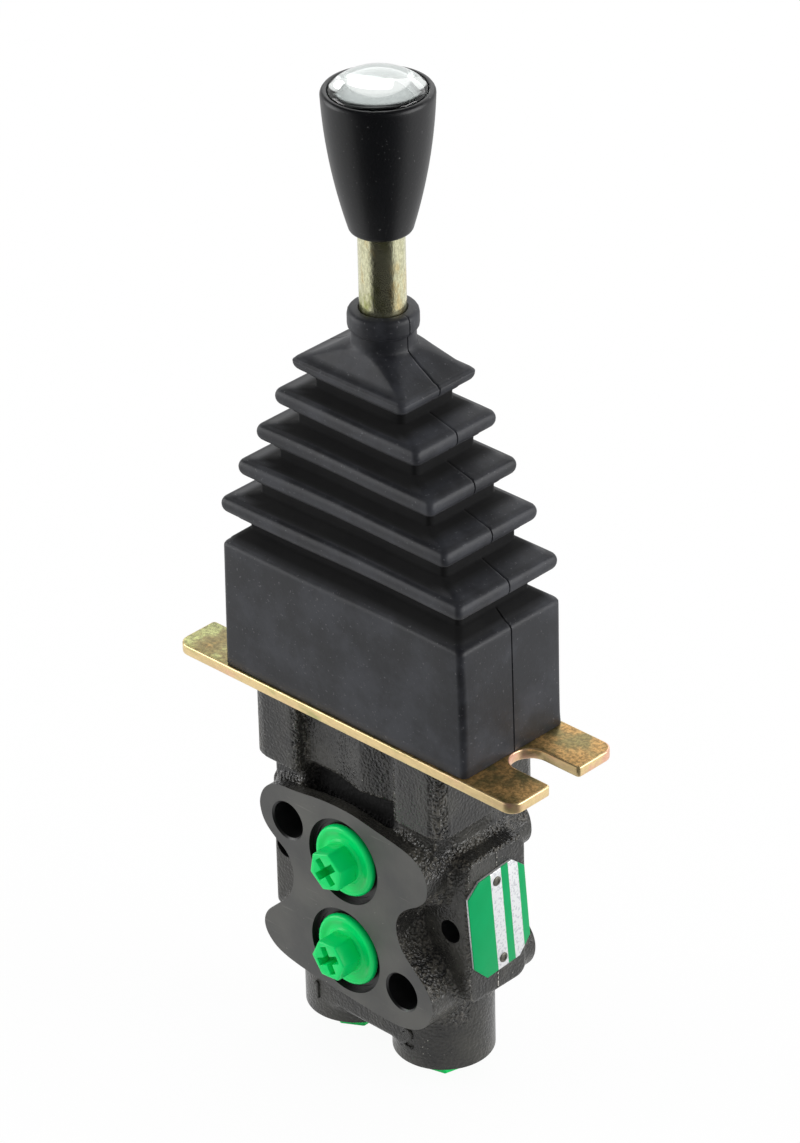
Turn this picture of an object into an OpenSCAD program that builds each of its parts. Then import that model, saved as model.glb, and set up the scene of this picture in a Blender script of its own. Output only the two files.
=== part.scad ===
// Hydraulic remote control valve, single axis, with a lever in a rubber bellows boot.
// Units are millimetres and Z is up. The origin is the centre of the top face of the
// mounting flange. X runs along the flange, which is the way the lever tilts. The two
// line ports P and T open on the front face, towards minus Y. The two work ports open
// at the bottom.

/* [Flange plate] */
// Length of the mounting flange
flange_l = 100; // [80:1:130]
// Width of the mounting flange
flange_w = 32; // [28:0.5:44]
// Thickness of the mounting flange
flange_t = 2.5; // [2:0.5:6]
// Radius of the flange corners
flange_corner_r = 3; // [0.5:0.5:6]
// Width of the open slots for the M8 mounting screws
slot_w = 8.8; // [6:0.1:11]
// Distance from the middle of the flange to the centre of a slot end
slot_x = 40.2; // [36:0.2:46]

/* [Casting] */
// Length of the upper block under the flange
block_l = 55.8; // [50:0.2:66]
// Depth of the upper block
block_w = 30.6; // [26:0.2:34]
// Depth of the recess between the two pads of the upper block
block_recess = 3.2; // [1:0.2:4]
// Half the distance between the pads of the upper block
block_pad_x = 14.3; // [10:0.1:18]
// Height of the underside of the upper block
block_bottom_z = -19.5; // [-24:0.5:-16]
// Depth of the lower body between its two machined faces
body_d = 33; // [28:0.5:44]
// Distance of the name plate pad from the middle
pad_x = 30; // [29:0.5:36]
// Width of the side pads between their flanks
pad_w = 18.6; // [17.6:0.2:22]
// Radius of the two work port bosses
boss_r = 11.45; // [9:0.05:14]
// Distance of a work port from the middle
boss_x = 13.4; // [11:0.1:18]
// Height of the lower end of the work port bosses
boss_z = -84.8; // [-100:0.2:-78]

/* [Ports and holes] */
// Height of the upper line port T
tank_z = -35.4; // [-38:0.1:-33]
// Distance between the two line ports
port_pitch = 23.2; // [21.5:0.1:26]
// Radius of the spot face round a line port
spotface_r = 10.6; // [9:0.1:11]
// Depth of the spot face round a line port
spotface_t = 1.6; // [0.5:0.1:3]
// Radius of the thread of a G 1/4 port
port_r = 5.9; // [4:0.1:6.6]
// Depth of the thread of a port
port_depth = 12; // [10:0.5:13]
// Distance of a tie rod hole from the port axis
tie_x = 16.8; // [15.5:0.1:18]
// Height of a tie rod hole from the middle of the line ports
tie_z = 14.9; // [13:0.1:16]
// Radius of a tie rod hole
tie_r = 4.35; // [3.3:0.05:4.5]
// Radius of the two side holes, which go through the side pads
side_hole_r = 2.75; // [2:0.05:3.2]
// Distance of a side hole from the middle
side_hole_x = 24.9; // [24.5:0.1:25.2]
// Height of the two side holes
side_hole_z = -45.9; // [-50:0.1:-42]

/* [Cartridges] */
// Distance of each plunger and spool from the middle
column_x = 8.5; // [8.2:0.1:9]
// Radius of the bore that holds a guide bush and the return spring
chamber_r = 7.25; // [6.8:0.05:7.6]
// Height of the floor of the spring chamber
chamber_z = -26.5; // [-27:0.1:-25]
// Radius of a plunger
plunger_r = 4; // [3.5:0.1:4.2]
// Radius of a metering spool
spool_r = 2.5; // [2:0.1:2.6]
// Radial clearance of plungers and spools in their bores
running_gap = 0.02; // [0.01:0.01:0.05]

/* [Lever] */
// Height of the pivot pin
pivot_z = 12; // [11:0.5:14]
// Radius of the pivot pin
pivot_r = 3; // [2.5:0.1:3.5]
// Gap between an adjusting screw and its plunger in neutral
contact_gap = 0.1; // [0.08:0.01:0.3]
// Length of the rocker across both adjusting screws
rocker_l = 28; // [26.5:0.5:30]
// Width of the rocker across its two cheeks
rocker_w = 14.8; // [14:0.1:15.2]
// Thickness of a cheek of the rocker
cheek_t = 2.6; // [2:0.1:3]
// Thickness of an ear of the pivot bracket
ear_t = 2.6; // [2:0.1:3]
// Radius of the lever rod
rod_r = 5; // [4.2:0.1:6]
// Radius of the thread at the top of the rod
rod_thread_r = 4; // [3:0.1:4.1]
// Height of the lower end of the knob
knob_z = 111.8; // [105:0.1:125]
// Height of the knob without its clear cap
knob_h = 32.5; // [28:0.5:40]
// Largest radius of the knob
knob_r = 11.85; // [11:0.05:14]
// Radius of the knob near its lower end
knob_foot_r = 6.9; // [6.8:0.1:8]

/* [Boot] */
// Length of the boot at its foot
boot_l = 71.4; // [66:0.2:76]
// Width of the boot at its foot
boot_w = 31; // [29:0.5:32]
// Height of the straight base of the boot
boot_base_h = 30.6; // [24:0.2:36]
// Wall thickness of the boot
boot_wall = 1.8; // [1.2:0.1:2.5]
// Height of the top of the boot's collar
boot_h = 93.9; // [90:0.1:100]
// Thickness of the rubber of the collar round the rod
collar_t = 2.6; // [2:0.1:4]
// Number of pleats
pleat_n = 5; // [3:1:5]
// Length of the top pleat
pleat_top_l = 32.4; // [30:0.2:38]
// Width of the top pleat
pleat_top_w = 22.8; // [22:0.2:26]
// Height of the slanting lip of a pleat
pleat_lip = 2.7; // [2.3:0.1:3.1]
// How far the root of a pleat lies inside its lip
pleat_depth = 3.4; // [2.5:0.1:3.6]

/* [Name plate] */
// Width of the name plate
plate_w = 17.8; // [14:0.2:18.4]
// Height of the name plate
plate_h = 26.2; // [20:0.2:28]
// Length of the cut at each corner of the name plate
plate_cut = 3.7; // [1:0.1:5]
// Angle by which the name plate sits askew
plate_turn = 5; // [0:0.5:6]

/* [Hidden] */
$fn = 48;
e = 0.05;
face_y = body_d / 2;
gap_x0 = -12.4;
gap_x1 = 10.6;
gap_y0 = 9.6;
gap_y1 = face_y - 3.4;
gap_z = -26;
work_face_z = boss_z + 1.8;
pressure_z = tank_z - port_pitch;
middle_z = (tank_z + pressure_z) / 2;
block_top_z = -flange_t;
bush_h = 9;
bush_z = block_top_z - bush_h;
seat_z = -15;
seat_t = 1.5;
spigot_z = -18.5;
head_z = -22.5;
head_t = 1.2;
spool_bottom_z = -60;
shim_t = 0.5;
contact_z = pivot_z + plunger_r + contact_gap;
rocker_z = pivot_z + 5;
rocker_t = 6;
nut_z = rocker_z + rocker_t + 8;
rod_bottom_z = rocker_z + 2;
ear_y = rocker_w / 2 + 0.4;
ear_end_y = ear_y + ear_t;
cheek_y = rocker_w / 2 - cheek_t;
cheek_r = 6;
ear_r = 7;
bush_r = pivot_r + 1.2;
clip_y = ear_end_y + 0.1;
clip_end_y = clip_y + 0.7;
pin_end_y = clip_end_y + 0.4;
groove_r = pivot_r - 0.6;
bracket_t = 2;
retainer_t = 1;
screw_head_z = bracket_t + retainer_t;
adjuster_x = column_x + 0.3;
adjuster_r = 2.5;
insert_r = rod_thread_r + 2;
insert_z = knob_z + 2.7;
insert_end_z = knob_z + 21;
knob_rim_z = knob_z + knob_h;
knob_floor_z = knob_rim_z - 2.7;
cup_r = knob_r - 1.45;
cap_r = cup_r - 0.35;
cap_rim_z = knob_rim_z + 0.4;
cap_h = 3.5;
cap_sphere_r = (cap_r * cap_r + cap_h * cap_h) / (2 * cap_h);
screw_x = 22;
screw_r = 2.5;

// Half length, half width and lower height of the lip of each pleat, top to bottom.
// The lowest one hangs 0.6 mm lower than the even pitch of the others.
lip_top_z = boot_h - 15.4;
lip_low_z = boot_base_h + 8.6;
pleats = [
    for (i = [0 : pleat_n - 1])
        let (t = i / (pleat_n - 1))
        [
            (pleat_top_l + (boot_l - 1 - pleat_top_l) * t) / 2,
            (pleat_top_w + (boot_w - 0.4 - pleat_top_w) * t) / 2,
            lip_top_z + (lip_low_z - lip_top_z) * t - (t == 1 ? 0.6 : 0)
        ]
];

// Outline of the machined faces of the lower body, as X and Z
lobe_outline = [
    [-20.6, -38.3], [-17.3, -40.3], [-15.8, -43], [-15.4, -46], [-15.9, -49.5],
    [-17.8, -53], [-21.4, -56.2], [-24.3, -59], [-25.4, -62.2], [-24.2, -65.4],
    [-20.6, -68.2], [-12.2, -69.8], [0, -70.6], [10, -71.4], [17, -71.4],
    [22.4, -69.4], [25.4, -66], [26.2, -61.9], [24.9, -58.4], [21.2, -54.8],
    [17.5, -51.5], [15.9, -48.3], [15.4, -45.1], [16.2, -42.1], [18.6, -39.4],
    [22.8, -36.9], [25.0, -34.2], [25.2, -30.8], [24.1, -27.6], [21.6, -25.5],
    [17.7, -24.2], [8.9, -22.9], [2.5, -21.8], [-6.2, -22], [-13.7, -23.3],
    [-20.2, -23.7], [-23.7, -26.1], [-25.4, -30], [-24.9, -33.6], [-23.3, -36.2]
];

// Two rounds of corner cutting make the outline smooth
function cut_corners(p) = [
    for (i = [0 : len(p) - 1], s = [0, 1])
        let (a = p[i], b = p[(i + 1) % len(p)])
        s == 0 ? a * 0.75 + b * 0.25 : a * 0.25 + b * 0.75
];

// One closed ring of points, a rectangle with round corners at height z
ring_n = 5;
function ring(hx, hy, r, z) = [
    for (q = [0 : 3], k = [0 : ring_n - 1])
        let (
            a = 90 * q + 90 * k / (ring_n - 1),
            sx = (q == 0 || q == 3) ? 1 : -1,
            sy = (q < 2) ? 1 : -1
        )
        [sx * (hx - r) + r * cos(a), sy * (hy - r) + r * sin(a), z]
];

// A ring of a pleat, set in by d from its lip and standing h over the lip's lower edge
function pleat_ring(q, d, r, h) = ring(q[0] - d, q[1] - d, r, q[2] + h);

// Outside of one pleat: an upright root wall, a rounded lip and a slanting face that
// ends in a crease, where the roof starts. The lip of the top pleat is the lowest.
function pleat_rings(i) =
    let (q = pleats[i], lip = i == 0 ? pleat_lip - 0.8 : pleat_lip)
    [
        pleat_ring(q, root_in(i), 1.1, -4.9),
        pleat_ring(q, root_in(i), 1.1, -0.3),
        pleat_ring(q, 0.9, 1.4, -0.2),
        pleat_ring(q, 0.3, 1.5, 0.1),
        pleat_ring(q, 0, 1.6, 0.7),
        pleat_ring(q, 0.2, 1.6, 1.2),
        pleat_ring(q, 1.35, 1.5, lip)
    ];

// The root of the lowest pleat is 1 mm deeper, where the base's shoulder starts
function root_in(i) = i == pleat_n - 1 ? pleat_depth + 1 : pleat_depth;

// A round ring of the collar or neck
function round_ring(r, z, d = 0.4) = ring(r, r, r - d, z);

collar_in = rod_r + 0.08;
collar_r = rod_r + collar_t;
neck_r = collar_r - 0.7;
foot_x = boot_l / 2 - 7.7;
foot_y = ear_end_y + 0.5;
foot_t = 2;
boot_outer = concat(
    [
        ring(boot_l / 2, boot_w / 2, 2.2, 0),
        ring(boot_l / 2 - 0.7, boot_w / 2, 2.2, boot_base_h - 0.6),
        ring(boot_l / 2 - 1.3, boot_w / 2 - 0.6, 2, boot_base_h + 0.3)
    ],
    [for (i = [pleat_n - 1 : -1 : 0]) each pleat_rings(i)],
    [
        round_ring(neck_r, boot_h - 7.8),
        round_ring(neck_r, boot_h - 4.6),
        round_ring(collar_r, boot_h - 4),
        round_ring(collar_r, boot_h - 1.2),
        round_ring(collar_r - 1, boot_h)
    ]
);
boot_inner = concat(
    [
        round_ring(collar_in, boot_h, 0.48),
        round_ring(collar_in, boot_h - 7.9, 0.48),
        round_ring(collar_in + 1.1, boot_h - 10.3, 1)
    ],
    [
        for (i = [0 : pleat_n - 1])
            let (q = pleats[i], d = root_in(i) + boot_wall)
            each [
                pleat_ring(q, 3.2, 0.8, i == 0 ? 1.4 : 1.9),
                pleat_ring(q, 3.2, 0.8, 0.9),
                pleat_ring(q, d, 0.6, 0.8),
                pleat_ring(q, d, 0.6, -6.3)
            ]
    ],
    [
        ring(boot_l / 2 - 0.7 - boot_wall, boot_w / 2 - boot_wall, 1.4, boot_base_h - 1.4),
        ring(boot_l / 2 - boot_wall, boot_w / 2 - boot_wall, 1.4, foot_t),
        ring(foot_x, foot_y, 1, foot_t),
        ring(foot_x, foot_y, 1, 0)
    ]
);

module cyl_y(r, y0, y1, x, z) {
    translate([x, y0, z])
        rotate([-90, 0, 0])
            cylinder(r = r, h = y1 - y0);
}

module cyl_x(r, x0, x1, y, z) {
    translate([x0, y, z])
        rotate([0, 90, 0])
            cylinder(r = r, h = x1 - x0);
}

module cyl_z(r, z0, z1, x = 0, y = 0) {
    translate([x, y, z0])
        cylinder(r = r, h = z1 - z0);
}

module box(x0, x1, y0, y1, z0, z1) {
    translate([x0, y0, z0])
        cube([x1 - x0, y1 - y0, z1 - z0]);
}

// A block with four rounded upright edges
module rounded_block(x0, x1, y0, y1, z0, z1, r) {
    box(x0 + r, x1 - r, y0, y1, z0, z1);
    box(x0, x1, y0 + r, y1 - r, z0, z1);
    for (x = [x0 + r, x1 - r], y = [y0 + r, y1 - r])
        cyl_z(r, z0, z1, x, y);
}

// A pad on the side of the body with four rounded edges along X
module side_pad(x0, x1, hy, z0, z1, r) {
    box(x0, x1, -hy + r, hy - r, z0, z1);
    box(x0, x1, -hy, hy, z0 + r, z1 - r);
    for (y = [-hy + r, hy - r], z = [z0 + r, z1 - r])
        cyl_x(r, x0, x1, y, z);
}

// The lobed section that carries the machined faces
module lobes(y0, y1) {
    translate([0, y1, 0])
        rotate([90, 0, 0])
            linear_extrude(height = y1 - y0)
                polygon(cut_corners(cut_corners(lobe_outline)));
}

// A closed skin through rings that all have the same number of points
module skin(rings) {
    n = len(rings[0]);
    m = len(rings);
    polyhedron(
        points = [for (r = rings) each r],
        faces = [
            for (i = [0 : m - 1], k = [0 : n - 1], t = [0, 1])
                let (
                    a = i * n + k,
                    b = i * n + (k + 1) % n,
                    c = ((i + 1) % m) * n + (k + 1) % n,
                    d = ((i + 1) % m) * n + k
                )
                t == 0 ? [a, c, b] : [a, d, c]
        ]
    );
}

// A coil of round wire, standing on the plane z0, with its wire swept along a helix
module coil(r, wire_r, z0, z1, turns) {
    per = 12;
    sides = 6;
    n = turns * per;
    base = z0 + wire_r;
    rise = z1 - z0 - 2 * wire_r;
    polyhedron(
        points = [
            for (i = [0 : n], j = [0 : sides - 1])
                let (a = 360 * i / per, b = 360 * j / sides, q = r + wire_r * cos(b))
                [q * cos(a), q * sin(a), base + rise * i / n + wire_r * sin(b)]
        ],
        faces = concat(
            [[for (j = [0 : sides - 1]) j]],
            [
                for (i = [0 : n - 1], j = [0 : sides - 1], t = [0, 1])
                    let (
                        a = i * sides + j,
                        b = i * sides + (j + 1) % sides,
                        c = (i + 1) * sides + (j + 1) % sides,
                        d = (i + 1) * sides + j
                    )
                    t == 0 ? [a, c, b] : [a, d, c]
            ],
            [[for (j = [sides - 1 : -1 : 0]) n * sides + j]]
        )
    );
}

// Solid outside shape of the casting before any hole is drilled
module casting_shape() {
    difference() {
        rounded_block(-block_l / 2, block_l / 2, -block_w / 2, block_w / 2,
            block_bottom_z, block_top_z, 3.5);
        for (s = [-1, 1])
            box(-block_pad_x, block_pad_x - 0.6,
                s > 0 ? block_w / 2 - block_recess : -block_w,
                s > 0 ? block_w : -block_w / 2 + block_recess,
                block_bottom_z - 1, block_top_z + 1);
    }
    // Soft ridges in the recess between the pads
    for (s = [-1, 1])
        cyl_z(8, block_bottom_z, block_top_z, 3, s * (block_w / 2 - block_recess - 6.9));
    // Neck between the upper block and the lower body
    rounded_block(-24.5, 24.5, -12.6, 12.6, -30, block_bottom_z + 1, 4);
    lobes(-face_y, face_y);
    // Core of the lower body between the lobes
    rounded_block(-23.5, 23.5, -pad_w / 2, pad_w / 2, -68, -24, 4);
    rounded_block(-24.8, 24.8, -14, 14, -38.4, -24.4, 4);
    side_pad(15, pad_x, pad_w / 2, -63.6, -27, 2.4);
    side_pad(-28.4, -15, pad_w / 2, -63.6, -27.4, 2.6);
    // Work port bosses and the web that joins them
    for (x = [-boss_x, boss_x])
        cyl_z(boss_r, boss_z, -57, x, 0);
    box(-boss_x, boss_x, -boss_r, boss_r, boss_z + 4.3, -60);
}

module port_hole() {
    // Drilled along plus Y from the machined face at the origin
    cyl_y(port_r, -1, port_depth + spotface_t, 0, 0);
    cyl_y(spotface_r, -1, spotface_t, 0, 0);
    cyl_y(2.5, 0, face_y, 0, 0);
}

module body_casting() {
    color([0.13, 0.13, 0.14])
        difference() {
            casting_shape();
            for (z = [tank_z, pressure_z])
                translate([0, -face_y, z])
                    port_hole();
            for (s = [-1, 1])
                cyl_y(tie_r, -face_y - 1, face_y + 1, s * tie_x, middle_z - s * tie_z);
            // Gap behind the upper edge of each machined face, under the upper block
            for (s = [-1, 1])
                box(gap_x0, gap_x1, s > 0 ? gap_y0 : -gap_y1, s > 0 ? gap_y1 : -gap_y0,
                    gap_z, block_bottom_z + 1.7);
            for (s = [-1, 1]) {
                cyl_y(side_hole_r, -pad_w / 2 - 1, pad_w / 2 + 1, s * side_hole_x, side_hole_z);
                cyl_z(chamber_r, chamber_z, block_top_z + 1, s * column_x);
                cyl_z(spool_r + running_gap, -63, chamber_z + 1, s * column_x);
                cyl_z(2, -74, -62, s * column_x);
                cyl_z(port_r, boss_z - 1, work_face_z + port_depth, s * boss_x);
                cyl_z(9.4, boss_z - 1, work_face_z, s * boss_x);
                cyl_z(2.1, block_top_z - 13, block_top_z + 1, s * screw_x);
            }
            // Galleries that join the line ports to both spool bores
            for (z = [tank_z, pressure_z])
                cyl_x(2, -column_x, column_x, 0, z);
        }
}

module flange_plate() {
    color([0.72, 0.62, 0.36])
        difference() {
            rounded_block(-flange_l / 2, flange_l / 2, -flange_w / 2, flange_w / 2,
                -flange_t, 0, flange_corner_r);
            for (s = [-1, 1]) {
                cyl_z(slot_w / 2, -flange_t - 1, 1, s * slot_x);
                box(min(s * slot_x, s * flange_l), max(s * slot_x, s * flange_l),
                    -slot_w / 2, slot_w / 2, -flange_t - 1, 1);
                cyl_z(plunger_r + 2, -flange_t - 1, 1, s * column_x);
                cyl_z(screw_r + 0.25, -flange_t - 1, 1, s * screw_x);
            }
        }
}

module pivot_bracket() {
    color([0.66, 0.60, 0.40])
        difference() {
            union() {
                box(-foot_x + 1, foot_x - 1, -ear_end_y, ear_end_y, 0, bracket_t);
                for (s = [-1, 1]) {
                    box(-ear_r, ear_r, s > 0 ? ear_y : -ear_end_y, s > 0 ? ear_end_y : -ear_y,
                        0, pivot_z);
                    cyl_y(ear_r, s > 0 ? ear_y : -ear_end_y, s > 0 ? ear_end_y : -ear_y,
                        0, pivot_z);
                }
            }
            cyl_y(pivot_r, -boot_w, boot_w, 0, pivot_z);
            for (s = [-1, 1]) {
                cyl_z(plunger_r + 1.5, -1, bracket_t + 1, s * column_x);
                cyl_z(screw_r + 0.25, -1, bracket_t + 1, s * screw_x);
            }
        }
}

module boot_retainer() {
    out_x = boot_l / 2 - boot_wall - 0.8;
    out_y = boot_w / 2 - boot_wall - 0.7;
    color([0.66, 0.60, 0.40])
        difference() {
            rounded_block(-out_x, out_x, -out_y, out_y, bracket_t, screw_head_z, 1.8);
            box(-17.5, 17.5, -ear_end_y - 0.2, ear_end_y + 0.2, 1, screw_head_z + 1);
            for (s = [-1, 1])
                cyl_z(screw_r + 0.25, 1, screw_head_z + 1, s * screw_x);
        }
}

module flange_screws() {
    color([0.45, 0.45, 0.46])
        for (s = [-1, 1])
            translate([s * screw_x, 0, 0])
                difference() {
                    union() {
                        cyl_z(4.25, screw_head_z, screw_head_z + 4);
                        cyl_z(screw_r, -flange_t, screw_head_z);
                        cyl_z(2.1, block_top_z - 11, -flange_t);
                    }
                    translate([0, 0, screw_head_z + 1.5])
                        cylinder(r = 2.3, h = 4, $fn = 6);
                }
}

module boot() {
    color([0.10, 0.10, 0.12])
        skin(concat(boot_outer, boot_inner));
}

module guide_bush(x) {
    color([0.60, 0.55, 0.32])
        translate([x, 0, 0])
            difference() {
                cyl_z(chamber_r, bush_z, block_top_z);
                cyl_z(plunger_r + running_gap, bush_z - 1, 0);
                cyl_z(5.6, block_top_z - 2.2, 0);
                difference() {
                    cyl_z(chamber_r + 1, block_top_z - 6.5, block_top_z - 4.5);
                    cyl_z(6.15, block_top_z - 7, block_top_z - 4);
                }
            }
}

module bush_seal(x) {
    color([0.06, 0.06, 0.06])
        translate([x, 0, block_top_z - 5.5])
            rotate_extrude()
                translate([6.7, 0])
                    circle(r = 0.55, $fn = 24);
}

module wiper_seal(x) {
    color([0.20, 0.32, 0.30])
        translate([x, 0, 0])
            difference() {
                cyl_z(5.6, block_top_z - 2.2, block_top_z - 0.1);
                cyl_z(plunger_r + running_gap, bush_z, 0);
            }
}

module spring_shim(x) {
    color([0.62, 0.62, 0.64])
        translate([x, 0, 0])
            difference() {
                cyl_z(6.9, chamber_z, chamber_z + shim_t);
                cyl_z(3.9, chamber_z - 1, chamber_z + 1);
            }
}

module plunger(x) {
    color([0.70, 0.70, 0.72])
        translate([x, 0, 0]) {
            translate([0, 0, pivot_z])
                sphere(r = plunger_r);
            cyl_z(plunger_r, seat_z, pivot_z);
            cyl_z(2.9, spigot_z, seat_z);
        }
}

module spring_seat(x) {
    color([0.55, 0.55, 0.57])
        translate([x, 0, 0])
            difference() {
                cyl_z(6.4, seat_z - seat_t, seat_z);
                cyl_z(2.9, seat_z - seat_t - 1, seat_z + 1);
            }
}

module return_spring(x) {
    color([0.50, 0.50, 0.52])
        translate([x, 0, 0])
            coil(5.6, 0.6, chamber_z + shim_t + 0.03, seat_z - seat_t - 0.03, 5);
}

module metering_spring(x) {
    color([0.50, 0.50, 0.52])
        translate([x, 0, 0])
            coil(2.3, 0.35, head_z + 0.03, spigot_z - 0.03, 4);
}

module metering_spool(x) {
    color([0.74, 0.74, 0.76])
        translate([x, 0, 0])
            difference() {
                union() {
                    cyl_z(3.6, head_z - head_t, head_z);
                    cyl_z(spool_r, spool_bottom_z, head_z);
                }
                for (z = [-44, -54.5])
                    difference() {
                        cyl_z(4, z, z + 4);
                        cyl_z(1.9, z - 1, z + 5);
                    }
                cyl_z(1.1, spool_bottom_z - 1, -41);
                cyl_x(0.7, -3, 3, 0, -42);
            }
}

// Plastic transport plug, with its flange face on z = 0 and its hexagon above it
module transport_plug(turn) {
    difference() {
        union() {
            rotate_extrude()
                polygon([[0, -1.8], [8.5, -1.8], [8.9, -1.4], [8.9, -0.5], [8.4, 0], [0, 0]]);
            cyl_z(port_r, -11, -1.8);
            cyl_z(5.6, -0.1, 0.7);
            rotate([0, 0, turn])
                cylinder(r = 5.4, h = 5.4, $fn = 6);
        }
        rotate([0, 0, turn + 10])
            for (a = [0, 90])
                rotate([0, 0, a])
                    box(-2.7, 2.7, -0.75, 0.75, 2.4, 6);
        cyl_z(4.2, -12, -3.5);
    }
}

module line_plug(z, turn) {
    color([0, 0.78, 0.36])
        translate([0, -face_y + spotface_t - 1.8, z])
            rotate([90, 0, 0])
                transport_plug(turn);
}

module work_plug(x, turn) {
    color([0, 0.78, 0.36])
        translate([x, 0, work_face_z - 1.8])
            rotate([180, 0, 0])
                transport_plug(turn);
}

module on_pad() {
    translate([pad_x, 0, -44.8])
        rotate([plate_turn, 0, 0])
            rotate([90, 0, 90])
                children();
}

module name_plate() {
    color([0.0, 0.55, 0.33])
        on_pad()
            difference() {
                linear_extrude(height = 0.8)
                    polygon([
                        [-plate_w / 2, -plate_h / 2 + plate_cut],
                        [-plate_w / 2 + plate_cut, -plate_h / 2],
                        [plate_w / 2 - plate_cut, -plate_h / 2],
                        [plate_w / 2, -plate_h / 2 + plate_cut],
                        [plate_w / 2, plate_h / 2 - plate_cut],
                        [plate_w / 2 - plate_cut, plate_h / 2],
                        [-plate_w / 2 + plate_cut, plate_h / 2],
                        [-plate_w / 2, plate_h / 2 - plate_cut]
                    ]);
                for (s = [-1, 1])
                    translate([0, s * 10.4, -1])
                        cylinder(r = 0.9, h = 3);
            }
}

module plate_rivets() {
    color([0.25, 0.25, 0.24])
        on_pad()
            for (s = [-1, 1])
                translate([0, s * 10.4, 0]) {
                    cylinder(r = 0.9, h = 0.8);
                    translate([0, 0, 0.8])
                        cylinder(r = 1.35, h = 0.35);
                }
}

module pivot_pin() {
    color([0.70, 0.70, 0.72])
        difference() {
            cyl_y(pivot_r, -pin_end_y, pin_end_y, 0, pivot_z);
            for (s = [-1, 1])
                difference() {
                    cyl_y(pivot_r + 1, s > 0 ? clip_y : -clip_end_y,
                        s > 0 ? clip_end_y : -clip_y, 0, pivot_z);
                    cyl_y(groove_r, -boot_w, boot_w, 0, pivot_z);
                }
        }
}

module pivot_circlips() {
    color([0.30, 0.30, 0.32])
        for (s = [-1, 1])
            difference() {
                cyl_y(pivot_r + 1.8, s > 0 ? clip_y : -clip_end_y,
                    s > 0 ? clip_end_y : -clip_y, 0, pivot_z);
                cyl_y(groove_r, -boot_w, boot_w, 0, pivot_z);
                box(-1.4, 1.4, -boot_w, boot_w, pivot_z - 8, pivot_z);
            }
}

module rocker() {
    color([0.28, 0.28, 0.30])
        difference() {
            union() {
                box(-rocker_l / 2, rocker_l / 2, -rocker_w / 2, rocker_w / 2,
                    rocker_z, rocker_z + rocker_t);
                cyl_z(rod_r + 2.4, rocker_z + rocker_t, nut_z);
                for (s = [-1, 1]) {
                    cyl_y(cheek_r, s > 0 ? cheek_y : -rocker_w / 2,
                        s > 0 ? rocker_w / 2 : -cheek_y, 0, pivot_z);
                    box(-cheek_r, cheek_r, s > 0 ? cheek_y : -rocker_w / 2,
                        s > 0 ? rocker_w / 2 : -cheek_y, pivot_z, rocker_z + e);
                }
            }
            cyl_y(bush_r, -rocker_w, rocker_w, 0, pivot_z);
            cyl_z(rod_r, rod_bottom_z, nut_z + 1);
            for (s = [-1, 1])
                cyl_z(adjuster_r, rocker_z - 1, rocker_z + rocker_t + 1, s * adjuster_x);
        }
}

module rocker_bushes() {
    color([0.66, 0.50, 0.25])
        for (s = [-1, 1])
            difference() {
                cyl_y(bush_r, s > 0 ? cheek_y : -rocker_w / 2,
                    s > 0 ? rocker_w / 2 : -cheek_y, 0, pivot_z);
                cyl_y(pivot_r + 0.03, -rocker_w, rocker_w, 0, pivot_z);
            }
}

module adjusting_screws() {
    color([0.35, 0.35, 0.37])
        for (s = [-1, 1])
            translate([s * adjuster_x, 0, 0])
                difference() {
                    cyl_z(adjuster_r, contact_z, rocker_z + rocker_t);
                    translate([0, 0, rocker_z + rocker_t - 2])
                        cylinder(r = 1.45, h = 3, $fn = 6);
                }
}

module lever_rod() {
    color([0.72, 0.66, 0.42]) {
        cyl_z(rod_r, rod_bottom_z, insert_z - 1);
        cyl_z(rod_thread_r, insert_z - 1, insert_end_z - 1);
    }
}

module rod_lock_nut() {
    color([0.60, 0.58, 0.45])
        difference() {
            translate([0, 0, nut_z])
                cylinder(r = rod_r + 4.2, h = 5, $fn = 6);
            cyl_z(rod_r, nut_z - 1, nut_z + 6);
        }
}

// Radius of the knob's side at a share t of its height, a slope that eases off upwards
function knob_side(t) = knob_foot_r + (knob_r - knob_foot_r) * (1.56 * t - 0.56 * t * t);

module knob() {
    side_h = knob_h - 2.8;
    color([0.06, 0.06, 0.07])
        translate([0, 0, knob_z])
            rotate_extrude()
                polygon(concat(
                    [[rod_r + 0.1, 0], [knob_foot_r - 1.1, 0], [knob_foot_r - 0.4, 0.3]],
                    [for (k = [0 : 10]) [knob_side(k / 10), 1.1 + side_h * k / 10]],
                    [
                        [knob_r - 0.05, knob_h - 0.7], [knob_r - 0.55, knob_h - 0.1],
                        [knob_r - 1.05, knob_h], [cup_r, knob_h - 0.4],
                        [cup_r, knob_floor_z - knob_z], [0, knob_floor_z - knob_z],
                        [0, insert_end_z - knob_z], [insert_r, insert_end_z - knob_z],
                        [insert_r, insert_z - knob_z], [rod_r + 0.1, insert_z - knob_z]
                    ]
                ));
}

module knob_insert() {
    color([0.72, 0.58, 0.28])
        difference() {
            cyl_z(insert_r, insert_z, insert_end_z);
            cyl_z(rod_thread_r, insert_z - 1, insert_end_z - 1);
        }
}

module knob_disc() {
    color([0.80, 0.80, 0.82])
        cyl_z(cup_r - 0.2, knob_floor_z, knob_floor_z + 0.5);
}

module knob_cap() {
    color([0.85, 0.88, 0.88])
        intersection() {
            cyl_z(cap_r, knob_floor_z + 0.5, cap_rim_z + cap_h + 1);
            translate([0, 0, cap_rim_z + cap_h - cap_sphere_r])
                sphere(r = cap_sphere_r);
        }
}

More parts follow.
